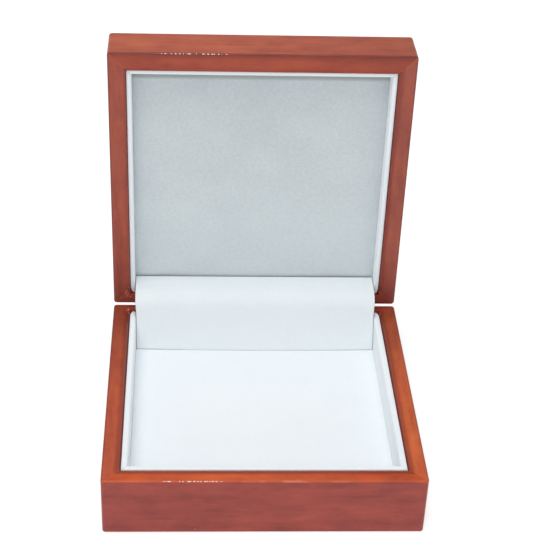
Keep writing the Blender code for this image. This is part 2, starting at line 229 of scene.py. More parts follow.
class Graph:
    """A node graph that grows one node at a time."""

    def __init__(self, tree: bpy.types.NodeTree) -> None:
        """Takes the tree to add to."""
        self.tree = tree

    def node(
        self,
        kind: str,
        settings: dict[str, Any] | None = None,
        inputs: dict[Any, Any] | None = None,
    ) -> bpy.types.Node:
        """Adds any node.

        Args:
            kind: The node's type.
            settings: Its properties, set first. "stops" are a ramp's (place, colour) pairs.
            inputs: Socket name or number to a wire, a socket or a value.

        Returns:
            The new node.
        """
        made = self.tree.nodes.new(kind)
        for name, value in (settings or {}).items():
            if name == "stops":
                self._set_stops(made.color_ramp, value)
            else:
                setattr(made, name, value)
        for name, value in (inputs or {}).items():
            if isinstance(value, Wire):
                self.tree.links.new(value.socket, made.inputs[name])
            elif isinstance(value, bpy.types.NodeSocket):
                self.tree.links.new(value, made.inputs[name])
            else:
                made.inputs[name].default_value = value
        return made

    @staticmethod
    def _set_stops(ramp: bpy.types.ColorRamp, stops: Sequence[tuple[float, Colour]]) -> None:
        """Gives a colour ramp its stops.

        Args:
            ramp: The ramp.
            stops: Its (place, colour) pairs in rising order.
        """
        while len(ramp.elements) < len(stops):
            ramp.elements.new(0.5)
        for element, (place, colour) in zip(ramp.elements, stops):
            element.position = place
            element.color = colour

    def vector(self, x: Any, y: Any, z: Any) -> bpy.types.NodeSocket:
        """Joins three values into a vector."""
        return self.node("ShaderNodeCombineXYZ", None, {0: x, 1: y, 2: z}).outputs[0]

    def noise(
        self,
        vector: bpy.types.NodeSocket,
        scale: float,
        detail: float = 3.0,
        roughness: float = 0.5,
        distortion: float = 0.0,
    ) -> Wire:
        """Fractal noise, with its middle at a half.

        Args:
            vector: Place in the noise.
            scale: Its scale.
            detail: Number of finer layers.
            roughness: Strength of the finer layers.
            distortion: How far the layers are pushed about.

        Returns:
            A value from 0 to 1.
        """
        made = self.node(
            "ShaderNodeTexNoise",
            {"noise_dimensions": "3D"},
            {
                "Vector": vector,
                "Scale": scale,
                "Detail": detail,
                "Roughness": roughness,
                "Distortion": distortion,
            },
        )
        return Wire(self, made.outputs[0])

    def dots(self, vector: bpy.types.NodeSocket, pitch: float, radius: float, kept: float) -> Wire:
        """Scattered round dots.

        Args:
            vector: Place in millimetres.
            pitch: Mean distance between dots in millimetres.
            radius: Radius of the largest dots in millimetres.
            kept: Share of the dots that are there, from 0 to 1.

        Returns:
            1 on a dot and 0 elsewhere.
        """
        made = self.node(
            "ShaderNodeTexVoronoi", {"feature": "F1"}, {"Vector": vector, "Scale": 1.0 / pitch}
        )
        parts = self.node("ShaderNodeSeparateColor", None, {0: made.outputs["Color"]})
        chance, size = Wire(self, parts.outputs[0]), Wire(self, parts.outputs[1])
        reach = (size * 0.6 + 0.4) * (radius / pitch)
        near = (1.0 - Wire(self, made.outputs["Distance"]) / reach).rise(0.0, 0.5)
        return near * chance.rise(kept + 0.02, kept - 0.02)

    def ramp(self, value: Wire, stops: Sequence[tuple[float, Colour]]) -> bpy.types.NodeSocket:
        """Colour of a value along stops."""
        return self.node("ShaderNodeValToRGB", {"stops": stops}, {0: value}).outputs[0]

    def mix(self, share: Any, first: Any, second: Any, way: str = "MIX") -> bpy.types.NodeSocket:
        """Mixes two colours.

        Args:
            share: How much of the second shows.
            first: The colour below.
            second: The colour above.
            way: The blending mode.

        Returns:
            The mixed colour.
        """
        made = self.node(
            "ShaderNodeMix",
            {"data_type": "RGBA", "blend_type": way},
            {0: share, 6: first, 7: second},
        )
        return made.outputs[2]


class Surface(Graph):
    """The node graph of one new material.

    Attributes:
        x: Place along X in millimetres.
        y: Place along Y in millimetres.
        z: Place along Z in millimetres.
    """

    def __init__(self, name: str) -> None:
        """Makes the material with its Principled shader.

        Args:
            name: Material name.
        """
        self.material = bpy.data.materials.new(name)
        self.material.use_nodes = True
        super().__init__(self.material.node_tree)
        self.shader = self.tree.nodes["Principled BSDF"]
        place = self.node("ShaderNodeTexCoord")
        parts = self.node("ShaderNodeSeparateXYZ", None, {0: place.outputs["Object"]})
        self.x = Wire(self, parts.outputs[0]) * PER_MM
        self.y = Wire(self, parts.outputs[1]) * PER_MM
        self.z = Wire(self, parts.outputs[2]) * PER_MM

    def place(self) -> bpy.types.NodeSocket:
        """Place in millimetres."""
        return self.vector(self.x, self.y, self.z)

    def dress(
        self,
        colour: Any,
        roughness: Any,
        height: Wire | None = None,
        depth: float = 0.0,
        **constants: Any,
    ) -> bpy.types.Material:
        """Feeds the shader.

        Args:
            colour: Base colour.
            roughness: Roughness.
            height: Relief from 0 to 1, or None.
            depth: The relief's height in metres.
            constants: Other shader sockets, with _ for a space, set to fixed values.

        Returns:
            The finished material.
        """
        for name, value in (("Base Color", colour), ("Roughness", roughness)):
            if isinstance(value, Wire):
                self.tree.links.new(value.socket, self.shader.inputs[name])
            elif isinstance(value, bpy.types.NodeSocket):
                self.tree.links.new(value, self.shader.inputs[name])
            else:
                self.shader.inputs[name].default_value = value
        if height is not None:
            bump = self.node(
                "ShaderNodeBump", None, {"Strength": 1.0, "Distance": depth, "Height": height}
            )
            self.tree.links.new(bump.outputs[0], self.shader.inputs["Normal"])
        for name, value in constants.items():
            self.shader.inputs[name.replace("_", " ")].default_value = value
        return self.material


# -------------------------------------------------------------------- finishes


class Finish(Protocol):
    """Something that makes a material."""

    def material(self) -> bpy.types.Material:
        """Builds the material."""


class Along(Enum):
    """Direction of a board's grain in the rest pose."""

    X = "x"
    Y = "y"
    Z = "z"


@dataclass(frozen=True)
class Plane:
    """A flat face square to one axis, from which depth is measured in millimetres.

    Attributes:
        axis: The axis across the face.
        level: Where the face lies, in millimetres.
        inward: 1 or -1, the way into the wood.
    """

    axis: Along
    level: float
    inward: float

    def depth(self, graph: Surface) -> Wire:
        """Depth behind the face.

        Args:
            graph: The material's graph.

        Returns:
            Millimetres into the wood.
        """
        place = {Along.X: graph.x, Along.Y: graph.y, Along.Z: graph.z}[self.axis]
        return (place - self.level) * self.inward


class EdgeLight(Enum):
    """Kind of painted light along a board's outer edge: highlight, or shade."""

    # The first paints a highlight along the edge, the second paints shade there.
    RUBBED = "rubbed"
    DARK = "dark"


@dataclass(frozen=True)
class StainedBoard:
    """Mahogany stain under satin lacquer on one board of a frame.

    Attributes:
        name: Material name.
        along: Grain direction.
        outer: The board's outer face.
        rim: The board's rim face.
        half_run: Half of the board's length, in millimetres.
        middle_run: Middle of the board along its grain, in millimetres.
        seed: Shifts the figure, so that no two boards match.
        rim_colour: Stain on the rim.
        face_colour: Stain on the outer face.
        pooled_and_shaded: Strength of the dark band along the rim's inner edge, partly stain that pooled
            there and partly painted shade on the roundover that faces the lining.
        pooled_and_shaded_from: Where that band starts, in millimetres from the outer face.
        painted_shade: Strength of the painted shade that darkens the board towards one end.
        painted_shade_from: Where along the grain the painted shade starts.
        painted_shade_to: Where it is darkest.
        edge_light: Which painted light the outer edge gets, highlight or shade.
        darker_edge: Strength of the darker colour on the rim's outer margin.
        glint: Start and end of a stretch of painted highlight dashes on the outer edge, or None.
        chips: Middle of a patch of small chips as (run, inset), or None.
    """

    name: str
    along: Along
    outer: Plane
    rim: Plane
    half_run: float
    seed: float
    rim_colour: Colour
    face_colour: Colour = srgb(156, 66, 54)
    middle_run: float = 0.0
    pooled_and_shaded: float = 0.6
    pooled_and_shaded_from: float = 6.4
    painted_shade: float = 0.0
    painted_shade_from: float = 0.0
    painted_shade_to: float = 1.0
    edge_light: EdgeLight = EdgeLight.DARK
    darker_edge: float = 0.0
    glint: tuple[float, float] | None = None
    chips: tuple[float, float] | None = None

    def material(self) -> bpy.types.Material:
        """Builds grain, stain, pores, pooled stain with painted shade, painted shade towards one end,
        painted highlight or shade on the edges, and chips.

        Returns:
            The finished material.
        """
        g = Surface(self.name)
        run, across, deep = {
            Along.X: (g.x, g.y, g.z),
            Along.Y: (g.y, g.x, g.z),
            Along.Z: (g.z, g.x, g.y),
        }[self.along]
        inset = self.outer.depth(g)
        sink = self.rim.depth(g)
        shift = self.seed * 37.0

        figure_place = g.vector(run * 0.018 + shift, across * 0.15, deep * 0.15 + shift)
        figure = g.noise(figure_place, 1.0, 5.0, 0.6, 0.5)
        fibre = g.noise(g.vector(run * 0.12 + shift, across * 2.1, deep * 2.1), 1.0, 4.0, 0.62)
        blotch_place = g.vector(run * 0.05 + shift, across * 0.09 + shift, deep * 0.09)
        blotch = g.noise(blotch_place, 1.0, 4.0, 0.6)
        pore_place = g.vector(run * 0.6 + shift, across * 4.0, deep * 4.0)
        pores = g.noise(pore_place, 1.0, 2.0, 0.5).rise(0.66, 0.76)

        tone = figure * 0.43 + fibre * 0.20 + blotch * 0.47
        face = self._stained(g, tone, self.face_colour)
        rim = self._stained(g, tone, self.rim_colour)
        colour = g.mix(sink.rise(1.0, 0.45), face, rim)

        on_rim = sink.rise(4.5, 1.5)
        # Dark band along the rim's inner edge: partly pooled stain, partly painted shade of the
        # inward-facing roundover.
        band = inset.rise(self.pooled_and_shaded_from, self.pooled_and_shaded_from + 3.2) * on_rim
        colour = g.mix(band * self.pooled_and_shaded, colour, srgb(126, 44, 28))
        # Painted shade: the board is painted darker towards one end, where less light reaches it.
        shade_run = run.rise(self.painted_shade_from, self.painted_shade_to)
        colour = g.mix(shade_run * self.painted_shade, colour, srgb(92, 34, 28))
        colour = g.mix(pores * 0.38, colour, srgb(84, 32, 26))
        colour = self._corners(g, colour, run, inset, on_rim)
        colour, painted_glints = self._edge(g, colour, run, across, deep, inset, sink)
        colour = self._specks(g, colour, run, inset, shift)

        rough = 0.36 + blotch * 0.14 + pores * 0.2 + painted_glints * 0.25
        height = fibre * 0.5 + figure * 0.3 - pores * 0.5 - painted_glints * 0.6
        return g.dress(
            colour,
            rough,
            height,
            0.00006,
            Coat_Weight=0.22,
            Coat_Roughness=0.14,
            Specular_IOR_Level=0.22,
        )

    @staticmethod
    def _stained(g: Surface, tone: Wire, stain: Colour) -> bpy.types.NodeSocket:
        """Lets a stain run darker and paler with the wood's figure.

        Args:
            g: The graph.
            tone: The figure, about a half on average.
            stain: The stain's middle colour.

        Returns:
            The stained colour.
        """
        red, green, blue = stain[:3]
        dark = (red * 0.72, green * 0.66, blue * 0.74, 1.0)
        pale = (min(1.0, red * 1.24), green * 1.36, blue * 1.20, 1.0)
        return g.ramp(tone, [(0.40, dark), (0.55, stain), (0.72, pale)])

    def _corners(self, g: Surface, colour: Any, run: Wire, inset: Wire, on_rim: Wire) -> Any:
        """Draws the faint pale line where two boards meet.

        Args:
            g: The graph.
            colour: Colour so far.
            run: Place along the grain.
            inset: Depth behind the outer face.
            on_rim: Mask of the rim.

        Returns:
            The colour with the line.
        """
        past = self.half_run - abs(run - self.middle_run)
        line = abs(past - inset).rise(0.55, 0.15) * on_rim
        uneven = g.noise(g.place(), 0.3, 2.0).rise(0.4, 0.6)
        return g.mix(line * uneven * 0.35, colour, srgb(206, 120, 88))

    def _edge(
        self,
        g: Surface,
        colour: Any,
        run: Wire,
        across: Wire,
        deep: Wire,
        inset: Wire,
        sink: Wire,
    ) -> tuple[Any, Wire | float]:
        """Paints a highlight or shade on the outer edge, then the highlight dashes.

        Args:
            g: The graph.
            colour: Colour so far.
            run: Place along the grain.
            across: Place across it.
            deep: Place across it the other way.
            inset: Depth behind the outer face.
            sink: Depth behind the rim.

        Returns:
            The colour with the painted edge light, and the mask of the painted highlight dashes.
        """
        edge = (inset + sink).rise(1.15, 0.75)
        uneven = g.noise(g.vector(run * 0.05, across * 0.1 + self.seed, deep * 0.1), 1.0, 3.0, 0.6)
        # Painted highlight along the edge where asked; painted shade along it otherwise.
        if self.edge_light is EdgeLight.RUBBED:
            rubbed = edge * uneven.rise(0.42, 0.60) * run.rise(-66.0, -56.0) * run.rise(62.0, 30.0)
            colour = g.mix(rubbed * 0.55, colour, srgb(226, 132, 98))
        else:
            colour = g.mix(edge * (0.35 + uneven * 0.4), colour, srgb(112, 42, 36))
        if self.darker_edge > 0.0:
            margin = inset.rise(5.4, 0.8) * sink.rise(2.0, 0.6) * (0.7 + uneven * 0.6)
            colour = g.mix(margin * self.darker_edge, colour, srgb(108, 42, 34))
        if self.glint is None:
            return colour, 0.0
        start, end = self.glint
        # Painted highlight: bright dashes along the crest of the edge, where the lacquer catches a
        # light. The same mask roughens and lowers the surface there.
        dashes = g.noise(g.vector(run * 0.75, self.seed, 0.0), 1.0, 2.0, 0.8).rise(0.50, 0.54)
        crest = abs(inset - sink).rise(0.42, 0.25) * (inset + sink).rise(1.1, 0.8)
        painted_glints = crest * dashes * run.rise(start, start + 3.0) * run.rise(end, end - 3.0)
        return g.mix(painted_glints, colour, srgb(250, 240, 234)), painted_glints

    def _specks(self, g: Surface, colour: Any, run: Wire, inset: Wire, shift: float) -> Any:
        """Scatters small pale chips, most of them in one patch.

        Args:
            g: The graph.
            colour: Colour so far.
            run: Place along the grain.
            inset: Depth behind the outer face.
            shift: Moves the pattern.

        Returns:
            The colour with the chips.
        """
        place = g.vector(g.x + shift, g.y, g.z)
        colour = g.mix(g.dots(place, 7.0, 0.60, 0.3) * 0.40, colour, srgb(214, 138, 104))
        if self.chips is None:
            return colour
        along, deep = self.chips
        away = ((run - along) ** 2.0 + ((inset - deep) * 1.8) ** 2.0).root()
        patch = away.rise(7.5, 3.5)
        return g.mix(patch * g.dots(place, 1.2, 0.80, 0.52), colour, srgb(238, 152, 120))


@dataclass(frozen=True)
class LiningCloth:
    """Soft brushed cloth over foam.

    Attributes:
        name: Material name.
        colour: The cloth's own colour.
        shade: Its colour in the lows of the pile.
        grain: How strongly the pile's mottling shows.
        relief: Height of the pile in metres.
        painted_top_shade: How far the cloth is painted towards its darker colour higher up, as painted
            shade.
        shadow_line: Height in millimetres above which the cloth carries painted shadow of the lining
            over it, or None.
    """

    name: str
    colour: Colour
    shade: Colour
    grain: float = 0.5
    relief: float = 0.00006
    painted_top_shade: float = 0.0
    shadow_line: float | None = None

    def material(self) -> bpy.types.Material:
        """Builds pile, mottling and a soft sheen, with any painted shade and painted shadow.

        Returns:
            The finished material.
        """
        g = Surface(self.name)
        place = g.place()
        pile = g.noise(place, 1.9, 4.0, 0.7)
        tuft = g.noise(place, 0.42, 3.0, 0.6)
        drift = g.noise(place, 0.035, 2.0, 0.5)
        share = (pile - 0.5) * 1.6 + (tuft - 0.5) * 0.7 + (drift - 0.5) * 0.5
        share = share * self.grain + 0.35
        # Painted shade: the cloth darkens towards the top.
        if self.painted_top_shade > 0.0:
            share = share + (g.z - 130.0) * (self.painted_top_shade / 75.0)
        colour = g.mix(share.highest(0.0).lowest(1.0), self.colour, self.shade)
        if self.shadow_line is not None:
            # Painted shadow: above this height the cloth darkens, where the lining above it casts shade.
            painted_shadow = g.z.rise(self.shadow_line - 3.2, self.shadow_line - 0.6)
            colour = g.mix(painted_shadow * 0.62, colour, srgb(134, 142, 134))
        height = pile * 0.7 + tuft * 0.5
        return g.dress(
            colour,
            0.86 + (pile - 0.5) * 0.16,
            height,
            self.relief,
            Sheen_Weight=0.25,
            Sheen_Roughness=0.45,
            Specular_IOR_Level=0.25,
        )


@dataclass(frozen=True)
class BrushedBrass:
    """Plain brass of small hinges, brushed along X and slightly tarnished."""

    name: str = "brushed_brass"

    def material(self) -> bpy.types.Material:
        """Builds the brushed metal.

        Returns:
            The finished material.
        """
        g = Surface(self.name)
        lines = g.noise(g.vector(g.x * 0.25, g.y * 9.0, g.z * 9.0), 1.0, 3.0, 0.6)
        tarnish = g.noise(g.place(), 0.35, 3.0, 0.6)
        colour = g.mix(tarnish.rise(0.45, 0.75) * 0.6, srgb(214, 176, 98), srgb(132, 96, 54))
        made = g.dress(colour, 0.26 + lines * 0.2 + tarnish * 0.12, lines, 0.00003)
        g.shader.inputs["Metallic"].default_value = 1.0
        return made


@dataclass(frozen=True)
class FeltCloth:
    """Dark felt under the box."""

    name: str = "dark_felt"

    def material(self) -> bpy.types.Material:
        """Builds matted fibres.

        Returns:
            The finished material.
        """
        g = Surface(self.name)
        place = g.place()
        fibres = g.noise(place, 2.4, 5.0, 0.75, 1.2)
        drift = g.noise(place, 0.08, 2.0)
        colour = g.ramp(
            fibres * 0.8 + drift * 0.2,
            [(0.3, srgb(38, 20, 24)), (0.55, srgb(72, 40, 46)), (0.8, srgb(104, 66, 70))],
        )
        return g.dress(colour, 0.95, fibres, 0.0002, Sheen_Weight=0.3, Specular_IOR_Level=0.1)


@dataclass(frozen=True)
class PlainBoard:
    """Bare board or plywood that hides under cloth and felt.

    Attributes:
        name: Material name.
        pale: Lighter colour.
        dark: Darker colour.
        stretch: How much longer than wide the grain is. 1 for pulp board.
    """

    name: str
    pale: Colour
    dark: Colour
    stretch: float

    def material(self) -> bpy.types.Material:
        """Builds the fibres.

        Returns:
            The finished material.
        """
        g = Surface(self.name)
        place = g.vector(g.x / self.stretch, g.y, g.z)
        grain = g.noise(place, 0.7, 4.0, 0.6)
        colour = g.mix(grain.rise(0.3, 0.7), self.dark, self.pale)
        return g.dress(colour, 0.8 + grain * 0.1, grain, 0.0001)


# ------------------------------------------------------------------ mesh tools


def new_piece(name: str, mesh: bpy.types.Mesh, finish: bpy.types.Material) -> bpy.types.Object:
    """Links a mesh as a piece with one finish.

    Args:
        name: Name of the piece.
        mesh: Its mesh.
        finish: Its material.

    Returns:
        The piece.
    """
    mesh.materials.clear()
    mesh.materials.append(finish)
    piece = bpy.data.objects.new(name, mesh)
    bpy.context.scene.collection.objects.link(piece)
    return piece


def closed_mesh(
    name: str, points: Sequence[Point], faces: Sequence[Sequence[int]], sharp: float
) -> bpy.types.Mesh:
    """A welded, outward, smooth-shaded mesh.

    Args:
        name: Mesh name.
        points: Corner places.
        faces: Corner numbers of each face.
        sharp: Angle in degrees over which an edge stays sharp.

    Returns:
        The mesh.
    """
    mesh = bpy.data.meshes.new(name)
    mesh.from_pydata([tuple(p) for p in points], [], [tuple(f) for f in faces])
    work = bmesh.new()
    work.from_mesh(mesh)
    bmesh.ops.remove_doubles(work, verts=work.verts, dist=2e-7)
    bmesh.ops.dissolve_degenerate(work, edges=work.edges, dist=1e-8)
    bmesh.ops.recalc_face_normals(work, faces=work.faces)
    work.to_mesh(mesh)
    work.free()
    mesh.shade_smooth()
    mesh.set_sharp_from_angle(angle=math.radians(sharp))
    return mesh


def arc_points(
    centre: tuple[float, float], radius: float, start: float, end: float, steps: int
) -> list[tuple[float, float]]:
    """Points along an arc.

    Args:
        centre: Its centre.
        radius: Its radius.
        start: First angle in degrees.
        end: Last angle in degrees.
        steps: Number of steps between them.

    Returns:
        The points, one more than the steps.
    """
    turns = [math.radians(start + (end - start) * k / steps) for k in range(steps + 1)]
    return [
        (centre[0] + radius * math.cos(turn), centre[1] + radius * math.sin(turn))
        for turn in turns
    ]


def applied(piece: bpy.types.Object) -> None:
    """Replaces a piece's mesh by what its modifiers make of it.

    Args:
        piece: The piece, which loses its modifiers.
    """
    bpy.context.view_layer.update()
    graph = bpy.context.evaluated_depsgraph_get()
    mesh = bpy.data.meshes.new_from_object(piece.evaluated_get(graph))
    piece.modifiers.clear()
    piece.data = mesh


def spaced(half: float, rounding: float, pitch: float) -> list[float]:
    """Grid lines from -half to half, closer together within the rounded margin.

    Args:
        half: Half of the side.
        rounding: Width of the rounded margin.
        pitch: Largest distance between lines inside it.

    Returns:
        The lines in rising order.
    """
    margin = [half - rounding * share for share in (0.0, 0.06, 0.2, 0.42, 0.7, 1.0, 1.35)]
    inner = margin[-1]
    count = max(2, 2 * math.ceil(inner / pitch))
    middle = [inner * (2.0 * k / count - 1.0) for k in range(1, count)]
    return [-m for m in margin] + middle + margin[::-1]


@dataclass
class Slab:
    """A wrapped foam board: a rounded rectangle with rolled edges.

    Attributes:
        half_a: Half of its first side.
        half_b: Half of its second side.
        low: Height of its back.
        high: Height of its face at the edges.
        corner: Radius of its corners in plan.
        top_roll: Radius of the roll between side and face.
        foot_roll: Radius of the roll between side and back.
        pitch: Largest grid distance.
        warp: Moves a finished point, to fit the slab to its place.
    """

    half_a: float
    half_b: float
    low: float
    high: float
    corner: float
    top_roll: float
    foot_roll: float
    pitch: float = 4.0 * MM
    warp: Callable[[Vector], Vector] | None = None

    def _plan(self, a: float, b: float) -> tuple[float, float]:
        """Pulls a point of the square plan into its rounded corner.

        Args:
            a: Place along the first side.
            b: Place along the second side.

        Returns:
            The place in the rounded plan.
        """
        over_a = abs(a) - (self.half_a - self.corner)
        over_b = abs(b) - (self.half_b - self.corner)
        if over_a <= 0.0 or over_b <= 0.0:
            return a, b
        pull = max(over_a, over_b) / math.hypot(over_a, over_b)
        a = math.copysign(self.half_a - self.corner + over_a * pull, a)
        b = math.copysign(self.half_b - self.corner + over_b * pull, b)
        return a, b

    @staticmethod
    def roll(inset: float, radius: float) -> float:
        """Drop of a rolled face.

        Args:
            inset: Distance from the edge.
            radius: Radius of the roll.

        Returns:
            How far the face lies below its full height there.
        """
        if inset >= radius:
            return 0.0
        return radius - math.sqrt(max(0.0, radius**2 - (radius - inset) ** 2))

    def mesh(self, name: str) -> bpy.types.Mesh:
        """Builds the closed mesh.

        Args:
            name: Mesh name.

        Returns:
            The mesh, in plan axes.
        """
        lines_a = spaced(self.half_a, self.top_roll, self.pitch)
        lines_b = spaced(self.half_b, self.top_roll, self.pitch)
        rows, columns = len(lines_a), len(lines_b)
        points: list[Vector] = []
        for face in (1, -1):
            for a in lines_a:
                for b in lines_b:
                    inset = min(self.half_a - abs(a), self.half_b - abs(b))
                    if face > 0:
                        z = self.high - self.roll(inset, self.top_roll)
                    else:
                        z = self.low + self.roll(inset, self.foot_roll)
                    points.append(Vector((*self._plan(a, b), z)))
        faces: list[tuple[int, ...]] = []
        layer = rows * columns
        for i in range(rows - 1):
            for j in range(columns - 1):
                k = i * columns + j
                faces.append((k, k + columns, k + columns + 1, k + 1))
                faces.append(
                    (layer + k, layer + k + 1, layer + k + columns + 1, layer + k + columns)
                )
        loop = [i * columns for i in range(rows)]
        loop += [(rows - 1) * columns + j for j in range(1, columns)]
        loop += [i * columns + columns - 1 for i in range(rows - 2, -1, -1)]
        loop += list(range(columns - 2, 0, -1))
        side = self.high - self.low - self.top_roll - self.foot_roll
        bands = max(1, round(side / (2.5 * MM)))
        rings = [loop]
        for band in range(1, bands):
            share = band / bands
            ring = []
            for k in loop:
                ring.append(len(points))
                points.append(points[k].lerp(points[layer + k], share))
            rings.append(ring)
        rings.append([layer + k for k in loop])
        for upper, lower in zip(rings, rings[1:]):
            for k in range(len(loop)):
                after = (k + 1) % len(loop)
                faces.append((upper[k], lower[k], lower[after], upper[after]))
        if self.warp is not None:
            points = [self.warp(point) for point in points]
        return closed_mesh(name, points, faces, CLOTH_SHARP)


def puff(
    piece: bpy.types.Object,
    still: Callable[[Vector], bool],
    pressure: float,
    cap: float,
    walled: Sequence[int],
) -> None:
    """Swells a piece as stuffed cloth, then keeps the shape.

    Args:
        piece: The piece, its mesh in the model's frame.
        still: Says which points are glued down.
        pressure: Cloth pressure.
        cap: Most that a point may move, in metres.
        walled: Axes along which neighbours hold it in place.
    """
    rest = np.array([v.co for v in piece.data.vertices], float)
    group = piece.vertex_groups.new(name="glued")
    group.add([v.index for v in piece.data.vertices if still(v.co)], 1.0, "REPLACE")
    cloth = piece.modifiers.new("cloth", "CLOTH")
    cloth.settings.vertex_group_mass = group.name
    cloth.settings.use_pressure = True
    cloth.settings.uniform_pressure_force = pressure
    cloth.settings.effector_weights.gravity = 0.0
    cloth.settings.quality = 6
    cloth.collision_settings.use_collision = False
    scene = bpy.context.scene
    for frame_number in range(1, 21):
        scene.frame_set(frame_number)
    applied(piece)
    scene.frame_set(1)
    swollen = np.array([v.co for v in piece.data.vertices], float)
    step = swollen - rest
    length = np.linalg.norm(step, axis=1)
    keep = np.minimum(1.0, cap / np.maximum(length, 1e-9))
    moved = rest + step * keep[:, None]
    for axis in walled:
        moved[:, axis] = rest[:, axis]
    piece.data.vertices.foreach_set("co", moved.astype(np.float32).ravel())
    piece.data.update()
    piece.data.shade_smooth()


# ------------------------------------------------------------------ the object


@dataclass(frozen=True)
class HingeLine:
    """The lid's axis, read from the joint.

    Attributes:
        y: Its place in depth.
        z: Its height.
    """

    y: float
    z: float

    def opened(self) -> Matrix:
        """Matrix that swings the closed lid to its open rest pose."""
        pivot = Matrix.Translation((0.0, self.y, self.z))
        return pivot @ Matrix.Rotation(math.radians(-90.0), 4, "X") @ pivot.inverted()


class Side(Enum):
    """A side of the box, with the turn that brings the front wall there, in degrees."""

    FRONT = 0
    RIGHT = 90
    BACK = 180
    LEFT = 270


@dataclass
class BoxFrame:
    """Four mitred boards of one half of the box.

    Attributes:
        prefix: "base" or "lid".
        body: The body that they ride on.
        width: Outer size along X.
        depth: Outer size along Y, closed.
        foot: Lowest level of the wood, closed.
        top: Highest level of the wood, closed.
        rim_up: True if the rim faces up when closed.
        wall: Board thickness.
        placed: Matrix from the closed layout to the rest pose.
        inner_round: Radius of the rim's inner edge.
        outer_round: Radius of the outer long edges.
        corner: Radius of the upright corners.
        mitre_gap: Gap between neighbouring boards.
        rebate: Width and height of the rebate for the panel.
        front_lip: How much thicker the front board is at its rim.
    """

    prefix: str
    body: str
    width: float
    depth: float
    foot: float
    top: float
    rim_up: bool
    wall: float
    placed: Matrix
    inner_round: float
    outer_round: float = 1.0 * MM
    corner: float = 2.0 * MM
    mitre_gap: float = 0.02 * MM
    rebate: tuple[float, float] = (5.0 * MM, 4.3 * MM)
    front_lip: float = 0.0

    @staticmethod
    def lip_share(depth: float) -> float:
        """Share of the front lip's extra thickness at a depth below the rim."""
        return min(1.0, max(0.0, (LIP_DEPTH - depth) / LIP_FADE))

    def section(self, lip: float) -> list[tuple[float, float]]:
        """Cross-section of a board.

        Args:
            lip: How much thicker it is at the rim.

        Returns:
            Points as (inset, height above the foot), for a rim that faces up.
        """
        tall = self.top - self.foot
        outer, inner = self.outer_round, self.inner_round
        wall, back = self.wall + lip, self.wall
        ease = 0.25 * MM
        small = 0.6 * MM
        if not self.rim_up:
            small = outer
        deep, high = self.rebate
        points = arc_points((small, small), small, 270.0, 180.0, 6)
        points += [(0.0, small + ease), (0.0, tall / 2), (0.0, tall - outer - ease)]
        points += arc_points((outer, tall - outer), outer, 180.0, 90.0, 7)
        points += [(outer + ease, tall), (wall / 2, tall), (wall - inner - ease, tall)]
        points += arc_points((wall - inner, tall - inner), inner, 90.0, 0.0, 8)
        points += [(wall, tall - inner - ease)]
        if lip > 0.0:
            points += [(back, tall - LIP_DEPTH)]
        points += [(back, high), (back - deep, high), (back - deep, 0.0), (small + ease, 0.0)]
        return points

    def board_mesh(self, name: str, side: Side) -> bpy.types.Mesh:
        """One board, its section swept along its length between mitres.

        Args:
            name: Mesh name.
            side: Where it stands.

        Returns:
            The mesh, in the rest pose.
        """
        sideways = side in (Side.RIGHT, Side.LEFT)
        length = self.depth if sideways else self.width
        reach = self.width / 2 if sideways else self.depth / 2
        half = length / 2 - self.mitre_gap
        tall = self.top - self.foot
        stations = 19
        turns = 6
        points: list[Vector] = []
        section = self.section(self.front_lip if side is Side.FRONT else 0.0)
        for inset, height in section:
            radius = max(self.corner - inset, 0.0)
            straight = half - max(self.corner, min(inset, self.wall))
            row = []
            for k in range(stations):
                row.append((straight * (2.0 * k / (stations - 1) - 1.0), inset))
            tail = []
            for k in range(1, turns + 1):
                angle = math.radians(45.0 * k / turns)
                along = straight + radius * math.sin(angle)
                tail.append((along, inset + radius * (1.0 - math.cos(angle))))
            row = [(-x, y) for x, y in reversed(tail)] + row + tail
            level = height if self.rim_up else tall - height
            for x, y in row:
                points.append(Vector((x, -reach + y, self.foot + level)))
        across = stations + 2 * turns
        count = len(section)
        faces: list[tuple[int, ...]] = []
        for i in range(count):
            after = (i + 1) % count
            for k in range(across - 1):
                faces.append(
                    (
                        i * across + k,
                        after * across + k,
                        after * across + k + 1,
                        i * across + k + 1,
                    )
                )
        faces.append(tuple(i * across for i in range(count)))
        faces.append(tuple(i * across + across - 1 for i in reversed(range(count))))
        turn = Matrix.Rotation(math.radians(side.value), 4, "Z")
        place = self.placed @ turn
        points = [place @ point for point in points]
        return closed_mesh(name, points, faces, WOOD_SHARP)

    def build(
        self, side: Side, finish: Finish, seats: Sequence[bpy.types.Object] = ()
    ) -> bpy.types.Object:
        """Builds, dresses and mounts one board.

        Args:
            side: Where it stands.
            finish: Its finish.
            seats: Cutters that let hinges in.

        Returns:
            The board.
        """
        node = f"{self.prefix}_{side.name.lower()}_wall"
        name = f"{self.prefix}_{side.name.lower()}_board"
        board = new_piece(name, self.board_mesh(name, side), finish.material())
        for seat in seats:
            cut = board.modifiers.new(seat.name, "BOOLEAN")
            cut.operation = "DIFFERENCE"
            cut.solver = "EXACT"
            cut.object = seat
        if seats:
            applied(board)
            board.data.set_sharp_from_angle(angle=math.radians(WOOD_SHARP))
        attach(board, self.body)
        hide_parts(node)
        log.info("%s rides on %s", name, self.body)
        return board


